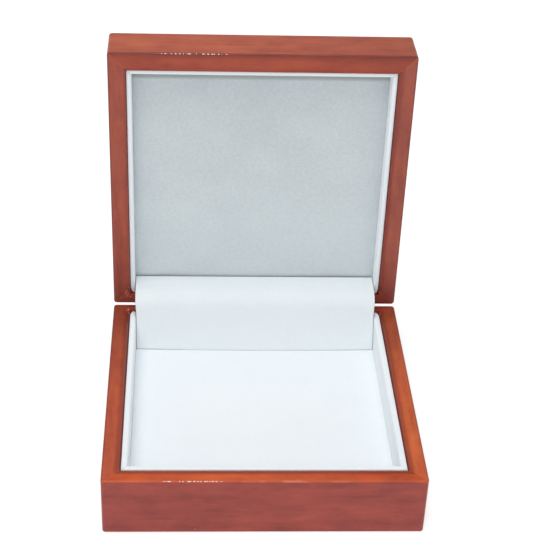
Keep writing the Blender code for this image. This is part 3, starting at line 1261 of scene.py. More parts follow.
@dataclass
class HingeSeats:
    """Cutters for the recess of each hinge leaf and the groove of its barrel.

    Attributes:
        line: The hinge axis.
        leaf: Leaf thickness.
        room: Clearance round the brass.
        barrel: Barrel radius.
    """

    line: HingeLine
    leaf: float = 1.5 * MM
    room: float = 0.3 * MM
    barrel: float = 2.2 * MM

    def cutters(self, level: str) -> list[bpy.types.Object]:
        """Makes the cutters of both hinges.

        Args:
            level: "lower" for the base, "upper" for the lid.

        Returns:
            The cutters, in the rest pose.
        """
        made = []
        for side in ("left", "right"):
            low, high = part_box(f"{side}_hinge_{level}_leaf")
            pin_low, pin_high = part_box(f"{side}_hinge_pin")
            room = self.room
            if level == "lower":
                face = self.line.z
                corner_low = (low.x - room, low.y - room, face - 0.15 * MM - self.leaf - room)
                corner_high = (high.x + room, high.y + room, face + MM)
            else:
                face = self.line.y
                corner_low = (low.x - room, face - MM, self.line.z + 0.9 * MM)
                corner_high = (high.x + room, face + 0.15 * MM + self.leaf + room, high.z + room)
            made.append(self._block(f"{side}_{level}_recess", corner_low, corner_high))
            middle = ((pin_low.x + pin_high.x) / 2, self.line.y, self.line.z)
            span = pin_high.x - pin_low.x + 2 * room
            made.append(self._barrel(f"{side}_{level}_groove", middle, span))
            made.append(self._notch(side, level))
        return made

    def _notch(self, side: str, level: str) -> bpy.types.Object:
        """Makes the cutter that lets the rear end of a side lining in.

        Args:
            side: "left" or "right".
            level: "lower" for the base, "upper" for the lid.

        Returns:
            The cutter.
        """
        prefix = "base" if level == "lower" else "lid"
        low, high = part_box(f"{prefix}_{side}_lining")
        room = self.room
        if level == "lower":
            corner_low = Vector((low.x - room, high.y - 8 * MM, low.z - room))
            corner_high = Vector((high.x + room, high.y + room, high.z + 3 * MM))
        else:
            corner_low = Vector((low.x - room, low.y - 4 * MM, low.z - room))
            corner_high = Vector((high.x + room, high.y + room, low.z + 8 * MM))
        return self._block(f"{side}_{level}_notch", corner_low, corner_high)

    def _block(self, name: str, low: Point, high: Point) -> bpy.types.Object:
        """A box-shaped cutter.

        Args:
            name: Its name.
            low: Its lowest corner.
            high: Its highest corner.

        Returns:
            The cutter.
        """
        mesh = bpy.data.meshes.new(name)
        work = bmesh.new()
        bmesh.ops.create_cube(work, size=1.0)
        size = Vector(high) - Vector(low)
        bmesh.ops.scale(work, vec=size, verts=work.verts)
        bmesh.ops.translate(work, vec=(Vector(low) + Vector(high)) / 2, verts=work.verts)
        work.to_mesh(mesh)
        work.free()
        return self._hidden(name, mesh)

    def _barrel(self, name: str, middle: Point, span: float) -> bpy.types.Object:
        """A round cutter along X.

        Args:
            name: Its name.
            middle: Its middle.
            span: Its length.

        Returns:
            The cutter.
        """
        mesh = bpy.data.meshes.new(name)
        work = bmesh.new()
        radius = self.barrel + self.room + 0.1 * MM
        turn = Matrix.Translation(middle) @ Matrix.Rotation(math.radians(90.0), 4, "Y")
        bmesh.ops.create_cone(
            work,
            cap_ends=True,
            segments=32,
            radius1=radius,
            radius2=radius,
            depth=span,
            matrix=turn,
        )
        work.to_mesh(mesh)
        work.free()
        return self._hidden(name, mesh)

    @staticmethod
    def _hidden(name: str, mesh: bpy.types.Mesh) -> bpy.types.Object:
        """Links a cutter, to be removed after use.

        Args:
            name: Its name.
            mesh: Its mesh.

        Returns:
            The cutter.
        """
        cutter = bpy.data.objects.new(name, mesh)
        bpy.context.scene.collection.objects.link(cutter)
        cutter.hide_render = True
        return cutter


@dataclass
class Linings:
    """Padded boards that line the inner faces of one half.

    Attributes:
        prefix: "base" or "lid".
        body: The body that they ride on.
        placed: Matrix from the closed layout to the rest pose.
        cloth: Their finish.
        wall_roll: Radius of the rim where it meets the wood.
        inner_roll: Radius of the rim on the inside.
        rear_corner: Length over which the free end of a side lining narrows.
        rear_drop: Radius of the roll from the rim down over that end.
        rear_pinch: Length over which the face rolls in at that end.
        mitre_reach: Length over which a mitred end is cut back.
        seam: Gap left at a mitred corner.
        ripple: Height of the soft waves of the cloth.
        lean: How far the front lining leans in at the rim, with the board behind it.
        rim_drop: How far the linings lie below the wood's rim.
    """

    prefix: str
    body: str
    placed: Matrix
    cloth: bpy.types.Material
    wall_roll: float = 0.7 * MM
    inner_roll: float = 1.5 * MM
    rear_corner: float = 5.5 * MM
    rear_drop: float = 1.5 * MM
    rear_pinch: float = 1.2 * MM
    mitre_reach: float = 12.0 * MM
    seam: float = 0.05 * MM
    ripple: float = 0.10 * MM
    lean: float = 0.0
    rim_drop: float = 0.0

    def _closed_box(self, node: str) -> tuple[Vector, Vector]:
        """Corners of a node in the closed layout.

        Args:
            node: The node's name.

        Returns:
            Its lowest and highest corner.
        """
        low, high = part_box(node)
        back = self.placed.inverted()
        first, second = back @ low, back @ high
        return (
            Vector(map(min, first, second)),
            Vector(map(max, first, second)),
        )

    def _section(
        self, thick: float, tall: float, away: float, pinch: float, drop: float
    ) -> list[Point]:
        """Section of a lining.

        Args:
            thick: Its thickness.
            tall: Its height.
            away: How far its back is pulled off the wood.
            pinch: How far its face is pulled in.
            drop: How far the rim is lowered.

        Returns:
            Points as (inset from the wood, height above the foot, share of ripple).
        """
        wide = thick - away - pinch
        wall_roll = min(self.wall_roll, wide * 0.45)
        inner_roll = min(self.inner_roll, wide * 0.5)
        top = tall - drop
        points = [(away, 0.0, 0.0), (away, top * 0.3, 0.0), (away, top * 0.65, 0.0)]
        for x, z in arc_points((away + wall_roll, top - wall_roll), wall_roll, 180.0, 90.0, 4):
            points.append((x, z, 0.3))
        far = thick - pinch
        for x, z in arc_points((far - inner_roll, top - inner_roll), inner_roll, 90.0, 0.0, 6):
            points.append((x, z, 0.6))
        for share in (0.8, 0.6, 0.4, 0.2, 0.08):
            points.append((far, top * share, 0.2))
        points.append((far, 0.0, 0.0))
        return points

    def _board(self, side: Side) -> bpy.types.Object:
        """Builds, dresses and mounts one padded board.

        Args:
            side: Where it stands.

        Returns:
            The board.
        """
        label = side.name.lower()
        node = f"{self.prefix}_{label}_lining"
        name = f"{self.prefix}_{label}_padding"
        low, high = self._closed_box(node)
        size = high - low
        thick = min(size.x, size.y)
        front = side is Side.FRONT
        reach = -low.y if front else max(high.x, -low.x)
        start, end = {
            Side.FRONT: (low.x, high.x),
            Side.RIGHT: (self._front_edge(), high.y),
            Side.LEFT: (-high.y, -self._front_edge()),
        }[side]
        mitred_start, mitred_end = front or side is Side.RIGHT, front or side is Side.LEFT
        stations = self._stations(start, end, mitred_start, mitred_end)
        rows: list[list[Vector]] = []
        for along in stations:
            left = self.rear_corner if mitred_start else along - start
            right = self.rear_corner if mitred_end else end - along
            past = max(0.0, min(left, right))
            away = Slab.roll(past, self.rear_corner) * thick * 0.70 / self.rear_corner
            pinch = Slab.roll(past, self.rear_pinch) * thick * 0.24 / self.rear_pinch
            drop = Slab.roll(past, self.rear_drop)
            row = []
            for inset, level, soft in self._section(thick, size.z, away, pinch, drop):
                x = along
                lean = self.lean * BoxFrame.lip_share(self.rim_drop + size.z - level)
                cut = inset if front else inset + lean
                if mitred_start and along - start < self.mitre_reach:
                    share = 1.0 - (along - start) / self.mitre_reach
                    x += cut * share
                if mitred_end and end - along < self.mitre_reach:
                    share = 1.0 - (end - along) / self.mitre_reach
                    x -= cut * share
                wave = math.sin(along / MM * 0.19 + thick / MM) + math.sin(along / MM * 0.083)
                inset -= soft * self.ripple * 0.5 * (1.0 + wave / 2) * min(1.0, past / (4 * MM))
                height = level if self.prefix == "base" else size.z - level
                if front:
                    inset += lean
                row.append(Vector((x, -reach + inset, low.z + height)))
            rows.append(row)
        count = len(rows[0])
        faces: list[tuple[int, ...]] = []
        for i in range(len(rows) - 1):
            for k in range(count):
                after = (k + 1) % count
                a, b = i * count, (i + 1) * count
                faces.append((a + k, a + after, b + after, b + k))
        faces.append(tuple(range(count)))
        last = (len(rows) - 1) * count
        faces.append(tuple(last + k for k in reversed(range(count))))
        place = self.placed @ Matrix.Rotation(math.radians(side.value), 4, "Z")
        points = [place @ point for row in rows for point in row]
        piece = new_piece(name, closed_mesh(name, points, faces, CLOTH_SHARP), self.cloth)
        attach(piece, self.body)
        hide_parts(node)
        log.info("%s rides on %s", name, self.body)
        return piece

    def _front_edge(self) -> float:
        """Where the side linings start, level with the front lining's back."""
        return self._closed_box(f"{self.prefix}_front_lining")[0].y

    def _stations(
        self, start: float, end: float, mitred_start: bool, mitred_end: bool
    ) -> list[float]:
        """Places along a lining, closer together at an open end.

        Args:
            start: Its first end.
            end: Its last end.
            mitred_start: Whether the first end meets another lining.
            mitred_end: Whether the last end does.

        Returns:
            The places in rising order.
        """
        shares = (0.0, 0.03, 0.08, 0.16, 0.28, 0.45, 0.65, 0.85, 1.0)
        begin, finish = start, end
        first: list[float] = []
        last: list[float] = []
        if mitred_start:
            begin = start + self.seam
        else:
            first = [start + self.rear_corner * share for share in shares[:-1]]
            begin = start + self.rear_corner
        if mitred_end:
            finish = end - self.seam
        else:
            last = [end - self.rear_corner * share for share in shares[:-1]][::-1]
            finish = end - self.rear_corner
        count = 44
        middle = [begin + (finish - begin) * k / count for k in range(count + 1)]
        return first + middle + last

    def build(self) -> list[bpy.types.Object]:
        """Builds the left, right and front linings."""
        return [self._board(side) for side in (Side.LEFT, Side.RIGHT, Side.FRONT)]


@dataclass
class FeltFoot:
    """Felt glued into the rebate under the base.

    Attributes:
        edge_roll: Radius of its cut edge.
        nap: Height of the soft waves of its faces.
        corner: Radius of its corners.
        waves: How fast those waves turn along X and Y, in radians per metre.
    """

    edge_roll: float = 0.5 * MM
    nap: float = 0.05 * MM
    corner: float = 1.0 * MM
    waves: tuple[float, float] = (310.0, 270.0)

    def build(self) -> bpy.types.Object:
        """Builds, dresses and mounts the felt.

        Returns:
            The felt.
        """
        low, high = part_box("base_felt")
        half = (high - low) / 2

        def matted(point: Vector) -> Vector:
            """Lets the faces wave within the felt's thickness.

            Args:
                point: A point of the flat felt, which is moved.

            Returns:
                The same point.
            """
            wave_x, wave_y = self.waves
            wave = math.sin(point.x * wave_x) * math.sin(point.y * wave_y + 1.0)
            share = 1.0 if point.z > (low.z + high.z) / 2 else -1.0
            point.z -= share * self.nap * (1.0 + wave) / 2
            return point

        slab = Slab(
            half_a=half.x,
            half_b=half.y,
            low=low.z,
            high=high.z,
            corner=self.corner,
            top_roll=self.edge_roll,
            foot_roll=self.edge_roll,
            warp=matted,
        )
        felt = new_piece("felt_foot", slab.mesh("felt_foot"), FeltCloth().material())
        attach(felt, "base")
        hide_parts("base_felt")
        log.info("felt_foot rides on base")
        return felt


@dataclass
class Pads:
    """The padded floor and the padded lid panel.

    Attributes:
        line: The hinge axis.
        floor_cloth: Finish of the floor pad.
        lid_cloth: Finish of the lid pad.
        floor_bow: How far the floor pad's rear edge reaches further at its ends.
        floor_reach: How far the floor pad's outline passes its node, in X and Y.
        floor_shift: How far it is moved to the rear.
        lid_reach: How far the lid pad's outline passes its node, in X and Z.
        swell: Most that the cloth simulation may lift the face.
        spare: Height left free for the swelling.
        free: Depth from the face over which the cloth isn't glued down.
        pressure: Pressure of the stuffing.
        corner: Radius of the corners of the outline.
        face_roll: Radius of the face's edge.
        back_roll: Radius of the back's edge.
        pitch: Spacing of the grid.
    """

    line: HingeLine
    floor_cloth: bpy.types.Material
    lid_cloth: bpy.types.Material
    floor_bow: float = 1.45 * MM
    floor_reach: tuple[float, float] = (0.26 * MM, 0.52 * MM)
    floor_shift: float = 0.37 * MM
    lid_reach: tuple[float, float] = (0.24 * MM, 0.15 * MM)
    swell: float = 0.7 * MM
    spare: float = 0.25 * MM
    free: float = 2.6 * MM
    pressure: float = 2.2
    corner: float = 0.5 * MM
    face_roll: float = 0.2 * MM
    back_roll: float = 0.8 * MM
    pitch: float = 3.6 * MM

    def floor(self) -> bpy.types.Object:
        """Builds the floor pad.

        Returns:
            The pad.
        """
        low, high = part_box("floor_pad")
        middle = (low + high) / 2
        half = (high - low) / 2

        def fitted(point: Vector) -> Vector:
            """Bows the rear edge to meet the hinge strip.

            Args:
                point: A point of the straight pad, which is moved.

            Returns:
                The same point.
            """
            share = max(0.0, point.y / half.y) ** 6
            ends = (point.x / half.x) ** 2
            point.y += self.floor_bow * share * ends
            return point

        slab = Slab(
            half_a=half.x + self.floor_reach[0],
            half_b=half.y + self.floor_reach[1],
            low=low.z,
            high=high.z - self.spare,
            corner=self.corner,
            top_roll=self.face_roll,
            foot_roll=self.back_roll,
            pitch=self.pitch,
            warp=fitted,
        )
        mesh = slab.mesh("floor_padding")
        mesh.transform(Matrix.Translation((middle.x, middle.y + self.floor_shift, 0.0)))
        pad = new_piece("floor_padding", mesh, self.floor_cloth)
        glue = high.z - self.free
        puff(pad, lambda co: co.z < glue, self.pressure, self.swell, (0, 1))
        self._finish(pad, "floor_pad", "base", "white_lining")
        return pad

    def lid(self) -> bpy.types.Object:
        """Builds the lid pad.

        Returns:
            The pad.
        """
        low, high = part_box("lid_pad")
        middle = (low + high) / 2
        half = (high - low) / 2
        slab = Slab(
            half_a=half.x + self.lid_reach[0],
            half_b=half.z + self.lid_reach[1],
            low=-high.y,
            high=-(low.y + self.spare),
            corner=self.corner,
            top_roll=self.face_roll,
            foot_roll=self.back_roll,
            pitch=self.pitch,
        )
        mesh = slab.mesh("lid_padding")
        axes = Matrix(((1, 0, 0), (0, 0, -1), (0, 1, 0))).to_4x4()
        mesh.transform(Matrix.Translation((middle.x, 0.0, middle.z)) @ axes)
        pad = new_piece("lid_padding", mesh, self.lid_cloth)
        glue = low.y + self.free
        puff(pad, lambda co: co.y > glue, self.pressure, self.swell, (0, 2))
        self._finish(pad, "lid_pad", "lid", "grey_lining")
        return pad

    @staticmethod
    def _finish(pad: bpy.types.Object, node: str, body: str, slot: str) -> None:
        """Smooths and mounts a pad.

        Args:
            pad: The pad.
            node: The node that it replaces.
            body: The body that it rides on.
            slot: Not used.
        """
        finer = pad.modifiers.new("finer", "SUBSURF")
        finer.levels = 1
        finer.render_levels = 1
        applied(pad)
        pad.data.shade_smooth()
        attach(pad, body)
        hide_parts(node)
        log.info("%s rides on %s", pad.name, body)


@dataclass
class HingeStrip:
    """Soft strip that bridges base and lid in front of the hinges.

    Attributes:
        line: The hinge axis.
        cloth: Its finish.
        foot: Where its middle line leaves the floor, in (y, z).
        end: Where it meets the lid pad, in (y, z).
        bend: Radius of its middle line round the hinge axis.
        thick: Its thickness.
        half_foot: Half width between the base linings.
        half_lid: Half width past the base linings.
        bow: How far its foot moves back at its ends.
    """

    line: HingeLine
    cloth: bpy.types.Material
    foot: tuple[float, float] = (66.9 * MM, 17.8 * MM)
    end: tuple[float, float] = (104.3 * MM, 53.6 * MM)
    bend: float = 12.6 * MM
    thick: float = 1.5 * MM
    half_foot: float = 79.6 * MM
    half_lid: float = 80.3 * MM
    bow: float = 1.8 * MM

    def _touch(self, point: tuple[float, float], side: float) -> float:
        """Angle at which a line from a point touches the bend.

        Args:
            point: The point, in (y, z).
            side: 1 or -1, the side on which it touches.

        Returns:
            The angle in radians.
        """
        y, z = point[0] - self.line.y, point[1] - self.line.z
        return (math.atan2(z, y) + side * math.acos(self.bend / math.hypot(y, z))) % math.tau

    def path(self, step: float = 0.9 * MM) -> list[tuple[Vector, Vector, float]]:
        """The middle line.

        Args:
            step: Distance between points.

        Returns:
            For each point its place and outward side in (y, z), and its share of the length.
        """
        centre = Vector((self.line.y, self.line.z))
        first = self._touch(self.foot, -1.0)
        last = self._touch(self.end, 1.0)
        start = centre + Vector((math.cos(first), math.sin(first))) * self.bend
        finish = centre + Vector((math.cos(last), math.sin(last))) * self.bend
        foot, end = Vector(self.foot), Vector(self.end)
        rise = (start - foot).length
        turn = abs(first - last) * self.bend
        reach = (end - finish).length
        whole = rise + turn + reach
        count = round(whole / step)
        made = []
        for k in range(count + 1):
            way = whole * k / count
            if way < rise:
                place = foot.lerp(start, way / rise)
                along = (start - foot).normalized()
                side = Vector((-along.y, along.x))
            elif way < rise + turn:
                angle = first + (last - first) * (way - rise) / turn
                side = Vector((math.cos(angle), math.sin(angle)))
                place = centre + side * self.bend
            else:
                place = finish.lerp(end, (way - rise - turn) / reach)
                along = (end - finish).normalized()
                side = Vector((-along.y, along.x))
            made.append((place, side, k / count))
        return made

    def mesh(self) -> bpy.types.Mesh:
        """Builds the strip as one closed skin with rolled edges.

        Returns:
            The mesh.
        """
        path = self.path()
        columns = spaced(1.0, 0.02, 0.045)
        points: list[Vector] = []
        for face in (1.0, -1.0):
            for place, side, share in path:
                grown = min(1.0, max(0.0, (share - 0.42) / 0.16))
                wide = self.half_foot + (self.half_lid - self.half_foot) * grown
                for column in columns:
                    x = column * wide
                    rim = min(1.0, (wide - abs(x)) / (self.thick * 0.35))
                    tip = min(1.0, share / 0.02, (1.0 - share) / 0.02)
                    full = math.sqrt(max(0.0, 1.0 - (1.0 - rim) ** 2))
                    full *= math.sqrt(max(0.0, 1.0 - (1.0 - tip) ** 2))
                    back = self.bow * column**2 * max(0.0, 1.0 - share / 0.5) ** 1.5
                    sag = 0.10 * MM * math.sin(column * 7.3 + 1.1) * math.sin(math.pi * share)
                    at = place + side * (face * self.thick / 2 * full + sag)
                    points.append(Vector((x, at.x + back, at.y)))
        rows, across = len(path), len(columns)
        layer = rows * across
        faces: list[tuple[int, ...]] = []
        for i in range(rows - 1):
            for j in range(across - 1):
                k = i * across + j
                faces.append((k, k + across, k + across + 1, k + 1))
                faces.append((layer + k, layer + k + 1, layer + k + across + 1, layer + k + across))
        return closed_mesh("hinge_strip", points, faces, STRIP_SHARP)

    def build(self) -> bpy.types.Object:
        """Builds and dresses the strip.

        Returns:
            The strip.
        """
        strip = new_piece("hinge_strip", self.mesh(), self.cloth)
        middle = self.path()
        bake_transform(strip)
        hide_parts("hinge_cover")
        log.info("hinge_strip bends between base and lid")
        return strip


@dataclass
class Woodwork:
    """All the mahogany: two frames of four boards and the lid's panel.

    Attributes:
        line: The hinge axis.
        base_seeds: Figure of the base boards.
        lid_seeds: Figure of the lid boards.
    """

    line: HingeLine
    base_seeds: dict[Side, float] = field(
        default_factory=lambda: {Side.FRONT: 1.3, Side.RIGHT: 2.1, Side.BACK: 3.7, Side.LEFT: 4.4}
    )
    lid_seeds: dict[Side, float] = field(
        default_factory=lambda: {Side.FRONT: 5.2, Side.RIGHT: 6.9, Side.BACK: 7.3, Side.LEFT: 8.8}
    )

    def build(self) -> None:
        """Builds both frames, then dresses the lid panel."""
        seats = HingeSeats(self.line)
        lower, upper = seats.cutters("lower"), seats.cutters("upper")
        self._base(lower)
        self._lid(upper)
        for cutter in lower + upper:
            bpy.data.objects.remove(cutter, do_unlink=True)
        self._panel()

    def _base(self, seats: list[bpy.types.Object]) -> None:
        """Builds the base frame.

        Args:
            seats: Cutters for the back board.
        """
        front_low, front_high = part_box("base_front_wall")
        right_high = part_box("base_right_wall")[1]
        half_x, half_y = right_high.x, -front_low.y
        frame = BoxFrame(
            prefix="base",
            body="base",
            width=2 * half_x,
            depth=2 * half_y,
            foot=front_low.z,
            top=front_high.z,
            rim_up=True,
            wall=front_high.y - front_low.y,
            placed=Matrix.Identity(4),
            inner_round=2.6 * MM,
            rebate=(5.0 * MM, 5.2 * MM),
        )
        rim = Plane(Along.Z, front_high.z / MM, -1.0)
        half_x, half_y = half_x / MM, half_y / MM
        finishes = {
            Side.FRONT: StainedBoard(
                "mahogany_base_front",
                Along.X,
                Plane(Along.Y, -half_y, 1.0),
                rim,
                half_x,
                self.base_seeds[Side.FRONT],
                rim_colour=srgb(195, 83, 43),
                face_colour=srgb(152, 62, 52),
                pooled_and_shaded=0.75,
                pooled_and_shaded_from=5.2,
                edge_light=EdgeLight.RUBBED,
                glint=(-60.0, -24.0),
            ),
            Side.RIGHT: StainedBoard(
                "mahogany_base_right",
                Along.Y,
                Plane(Along.X, half_x, -1.0),
                rim,
                half_y,
                self.base_seeds[Side.RIGHT],
                rim_colour=srgb(199, 95, 54),
                pooled_and_shaded=0.72,
                painted_shade=0.55,
                painted_shade_from=-30.0,
                painted_shade_to=95.0,
            ),
            Side.BACK: StainedBoard(
                "mahogany_base_back",
                Along.X,
                Plane(Along.Y, half_y, -1.0),
                rim,
                half_x,
                self.base_seeds[Side.BACK],
                # Painted shade: this rim is darker than the side rims, for the shade of the open lid and
                # the hinge strip.
                rim_colour=srgb(145, 61, 46),
                chips=(-82.0, 8.0),
            ),
            Side.LEFT: StainedBoard(
                "mahogany_base_left",
                Along.Y,
                Plane(Along.X, -half_x, 1.0),
                rim,
                half_y,
                self.base_seeds[Side.LEFT],
                rim_colour=srgb(188, 87, 57),
                pooled_and_shaded=0.65,
                pooled_and_shaded_from=6.2,
                painted_shade=0.62,
                painted_shade_from=-30.0,
                painted_shade_to=95.0,
            ),
        }
        for side, finish in finishes.items():
            frame.build(side, finish, seats if side is Side.BACK else ())

    def _lid(self, seats: list[bpy.types.Object]) -> None:
        """Builds the lid frame, laid out closed and swung open.

        Args:
            seats: Cutters for the back board.
        """
        low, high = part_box("lid_front_wall")
        half_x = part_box("lid_right_wall")[1].x
        base_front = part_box("base_front_wall")[0]
        closed_rim = self.line.z + (low.y - self.line.y)
        frame = BoxFrame(
            prefix="lid",
            body="lid",
            width=2 * half_x,
            depth=-2 * base_front.y,
            foot=closed_rim,
            top=closed_rim + high.y - low.y,
            rim_up=False,
            wall=high.z - low.z,
            placed=self.line.opened(),
            inner_round=1.6 * MM,
            front_lip=FRONT_LIP,
        )
        rim = Plane(Along.Y, low.y / MM, 1.0)
        half_x = half_x / MM
        back_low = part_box("lid_back_wall")[0].z / MM
        half_z = (high.z / MM - back_low) / 2
        middle = (high.z / MM + back_low) / 2
        finishes = {
            Side.FRONT: StainedBoard(
                "mahogany_lid_front",
                Along.X,
                Plane(Along.Z, high.z / MM, -1.0),
                rim,
                half_x,
                self.lid_seeds[Side.FRONT],
                rim_colour=srgb(164, 70, 48),
                # Painted light: this face, on top when the lid is open, is painted brighter and more
                # orange than the base's front face.
                face_colour=srgb(177, 87, 62),
                painted_shade=0.22,
                painted_shade_from=10.0,
                painted_shade_to=95.0,
                pooled_and_shaded=0.35,
                pooled_and_shaded_from=8.0,
                darker_edge=0.55,
                glint=(-66.0, -20.0),
            ),
            Side.RIGHT: StainedBoard(
                "mahogany_lid_right",
                Along.Z,
                Plane(Along.X, half_x, -1.0),
                rim,
                half_z,
                self.lid_seeds[Side.RIGHT],
                rim_colour=srgb(154, 74, 58),
                middle_run=middle,
                painted_shade=0.5,
                painted_shade_from=80.0,
                painted_shade_to=36.0,
                pooled_and_shaded=0.7,
                pooled_and_shaded_from=7.4,
            ),
            Side.BACK: StainedBoard(
                "mahogany_lid_back",
                Along.X,
                Plane(Along.Z, back_low, 1.0),
                rim,
                half_x,
                self.lid_seeds[Side.BACK],
                rim_colour=srgb(140, 62, 52),
                chips=(-82.0, 7.0),
            ),
            Side.LEFT: StainedBoard(
                "mahogany_lid_left",
                Along.Z,
                Plane(Along.X, -half_x, 1.0),
                rim,
                half_z,
                self.lid_seeds[Side.LEFT],
                rim_colour=srgb(158, 74, 56),
                middle_run=middle,
                painted_shade=0.5,
                painted_shade_from=80.0,
                painted_shade_to=36.0,
                pooled_and_shaded=0.5,
                pooled_and_shaded_from=8.2,
                chips=(47.5, 10.6),
            ),
        }
        for side, finish in finishes.items():
            frame.build(side, finish, seats if side is Side.BACK else ())

    def _panel(self) -> None:
        """Dresses the lid's top panel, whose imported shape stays."""
        node = bpy.data.objects["lid_top_panel"]
        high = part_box("lid_top_panel")[1]
        far = Plane(Along.Y, high.y / MM + 50.0, -1.0)
        finish = StainedBoard(
            "mahogany_lid_panel",
            Along.X,
            far,
            far,
            500.0,
            9.6,
            rim_colour=srgb(156, 66, 54),
            pooled_and_shaded=0.0,
        )
        dress_node(node, finish.material())
        log.info("lid_top_panel keeps its packed shape")


def dress_node(node: bpy.types.Object, finish: bpy.types.Material) -> None:
    """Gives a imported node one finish.

    Args:
        node: The node.
        finish: Its material.
    """
    node.data.materials.clear()
    node.data.materials.append(finish)
    for slot in node.material_slots:
        slot.material = finish


@dataclass
class Hardware:
    """Hinges and screws, and the boards that hardly show."""

    def build(self, nodes: dict[str, bpy.types.Object]) -> None:
        """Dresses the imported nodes.

        Args:
            nodes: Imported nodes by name.
        """
        brass = BrushedBrass().material()
        card = PlainBoard("grey_card", srgb(206, 202, 194), srgb(178, 172, 164), 1.0).material()
        ply = PlainBoard("bare_ply", srgb(206, 168, 122), srgb(168, 124, 82), 9.0).material()
        for name, node in sorted(nodes.items()):
            if "_hinge_" in name:
                dress_node(node, brass)
            elif name.endswith("_card"):
                dress_node(node, card)
            elif name == "base_bottom_panel":
                dress_node(node, ply)
            else:
                continue
            log.info("%s keeps its packed shape", name)


# ------------------------------------------------------------------ the studio


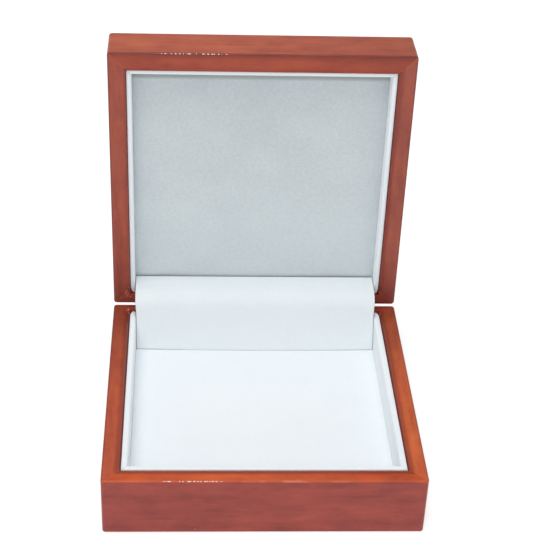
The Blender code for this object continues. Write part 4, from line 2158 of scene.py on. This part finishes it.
@dataclass
class Studio:
    """Floor, lights and camera.

    Attributes:
        eye: Camera place.
        heading: Camera heading from +Y towards +X, in degrees.
        dip: How far it looks down, in degrees.
        roll: Its roll, in degrees.
        focal: Focal length in frame widths.
        centre: Where the optical axis meets the frame, in frame widths from its middle.
    """

    eye: Point = (-0.0457, -0.7256, 0.5887)
    heading: float = 3.35
    dip: float = 34.80
    roll: float = 2.18
    focal: float = 2.72514
    centre: tuple[float, float] = (-0.018161, 0.115929)

    def build(self) -> None:
        """Builds the studio."""
        self._floor()
        self._lights()
        self._camera()

    def _camera(self) -> None:
        """Aims the camera."""
        data = bpy.data.cameras.new("studio_camera")
        data.sensor_width = 36.0
        data.lens = self.focal * data.sensor_width
        data.shift_x = -self.centre[0]
        data.shift_y = self.centre[1]
        data.clip_start = 0.01
        data.clip_end = 50.0
        camera = bpy.data.objects.new("studio_camera", data)
        bpy.context.scene.collection.objects.link(camera)
        heading, dip, roll = (math.radians(a) for a in (self.heading, self.dip, self.roll))
        forward = Vector(
            (
                math.sin(heading) * math.cos(dip),
                math.cos(heading) * math.cos(dip),
                -math.sin(dip),
            )
        )
        level = Vector((math.cos(heading), -math.sin(heading), 0.0))
        upright = level.cross(forward)
        right = level * math.cos(roll) + upright * math.sin(roll)
        up = upright * math.cos(roll) - level * math.sin(roll)
        turn = Matrix((right, up, -forward)).transposed().to_4x4()
        camera.matrix_world = Matrix.Translation(self.eye) @ turn
        bpy.context.scene.camera = camera

    def _floor(self) -> None:
        """Lays a pale sweep under the box."""
        mesh = bpy.data.meshes.new("studio_floor")
        work = bmesh.new()
        bmesh.ops.create_grid(work, x_segments=8, y_segments=8, size=6.0)
        work.to_mesh(mesh)
        work.free()
        g = Surface("studio_paper")
        grain = g.noise(g.place(), 0.5, 2.0)
        colour = g.mix(grain * 0.08, srgb(212, 214, 214), srgb(204, 205, 207))
        paper = g.dress(
            colour,
            0.9,
            Specular_IOR_Level=0.1,
            Emission_Color=(1.0, 1.0, 1.0, 1.0),
            Emission_Strength=0.58,
        )
        floor = new_piece("studio_floor", mesh, paper)

    def _light(self, name: str, place: Point, aim: Point, size: float, power: float) -> None:
        """Hangs one soft square light.

        Args:
            name: Its name.
            place: Where it hangs.
            aim: What it points at.
            size: Its side.
            power: Its power in watts.
        """
        data = bpy.data.lights.new(name, "AREA")
        data.shape = "SQUARE"
        data.size = size
        data.energy = power
        lamp = bpy.data.objects.new(name, data)
        bpy.context.scene.collection.objects.link(lamp)
        lamp.location = place
        way = Vector(aim) - Vector(place)
        lamp.rotation_euler = way.to_track_quat("-Z", "Y").to_euler()

    def _lights(self) -> None:
        """Sets a pale world and soft lights."""
        bpy.context.scene.view_settings.view_transform = "Standard"
        self._world()
        self._light("overhead_light", (-0.17, -0.15, 1.5), (0.0, 0.05, 0.05), 1.2, 12.6)
        self._light("key_light", (-0.30, -1.30, 1.05), (0.0, 0.05, 0.08), 0.35, 2.5)

    def _world(self) -> None:
        """Paints a pale studio that is dimmer above its far wall."""
        world = bpy.data.worlds.new("studio_world")
        world.use_nodes = True
        g = Graph(world.node_tree)
        place = g.node("ShaderNodeTexCoord")
        parts = g.node("ShaderNodeSeparateXYZ", None, {0: place.outputs["Generated"]})
        high = Wire(g, parts.outputs[2]).rise(0.25, 0.5)
        far = Wire(g, parts.outputs[1]).rise(0.0, 0.5)
        colour = g.mix(high * far, (0.94, 0.975, 1.0, 1.0), (0.42, 0.43, 0.44, 1.0))
        back = g.tree.nodes["Background"]
        back.inputs["Strength"].default_value = 0.54
        g.tree.links.new(colour, back.inputs["Color"])
        bpy.context.scene.world = world


# ------------------------------------------------------------------------ main


def hinge_line(joints: Sequence[dict[str, Any]]) -> HingeLine:
    """Reads the lid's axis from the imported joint.

    Args:
        joints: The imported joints.

    Returns:
        The axis.
    """
    place = next(j for j in joints if j["name"] == "lid_hinge")["pos_m"]
    return HingeLine(place[1], place[2])


def main() -> None:
    """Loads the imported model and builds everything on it."""
    logging.basicConfig(level=logging.INFO, format="%(message)s")
    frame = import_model()
    line = hinge_line(frame["joints"])
    Studio().build()
    Hardware().build(frame["nodes"])
    Woodwork(line).build()
    white = LiningCloth("white_cloth", srgb(243, 247, 249), srgb(228, 233, 237), 0.5)
    # The grey cloth is painted darker towards its top as painted shade, and darker still just under the
    # lid's front lining as painted shadow.
    grey = LiningCloth("grey_cloth", srgb(216, 224, 225), srgb(184, 188, 193), 0.8, 0.00010, 0.24, 201.6)
    cloth = white.material()
    Linings("base", "base", Matrix.Identity(4), cloth).build()
    Linings("lid", "lid", line.opened(), cloth, lean=FRONT_LIP, rim_drop=2.2 * MM).build()
    pads = Pads(line, cloth, grey.material())
    pads.floor()
    pads.lid()
    # Painted shade: a slightly darker copy of the white cloth, for the strip that faces forward, away
    # from the overhead light.
    strip = LiningCloth("strip_cloth", srgb(240, 245, 247), srgb(223, 229, 232), 0.5)
    HingeStrip(line, strip.material()).build()
    FeltFoot().build()


if __name__ == "__main__":
    main()
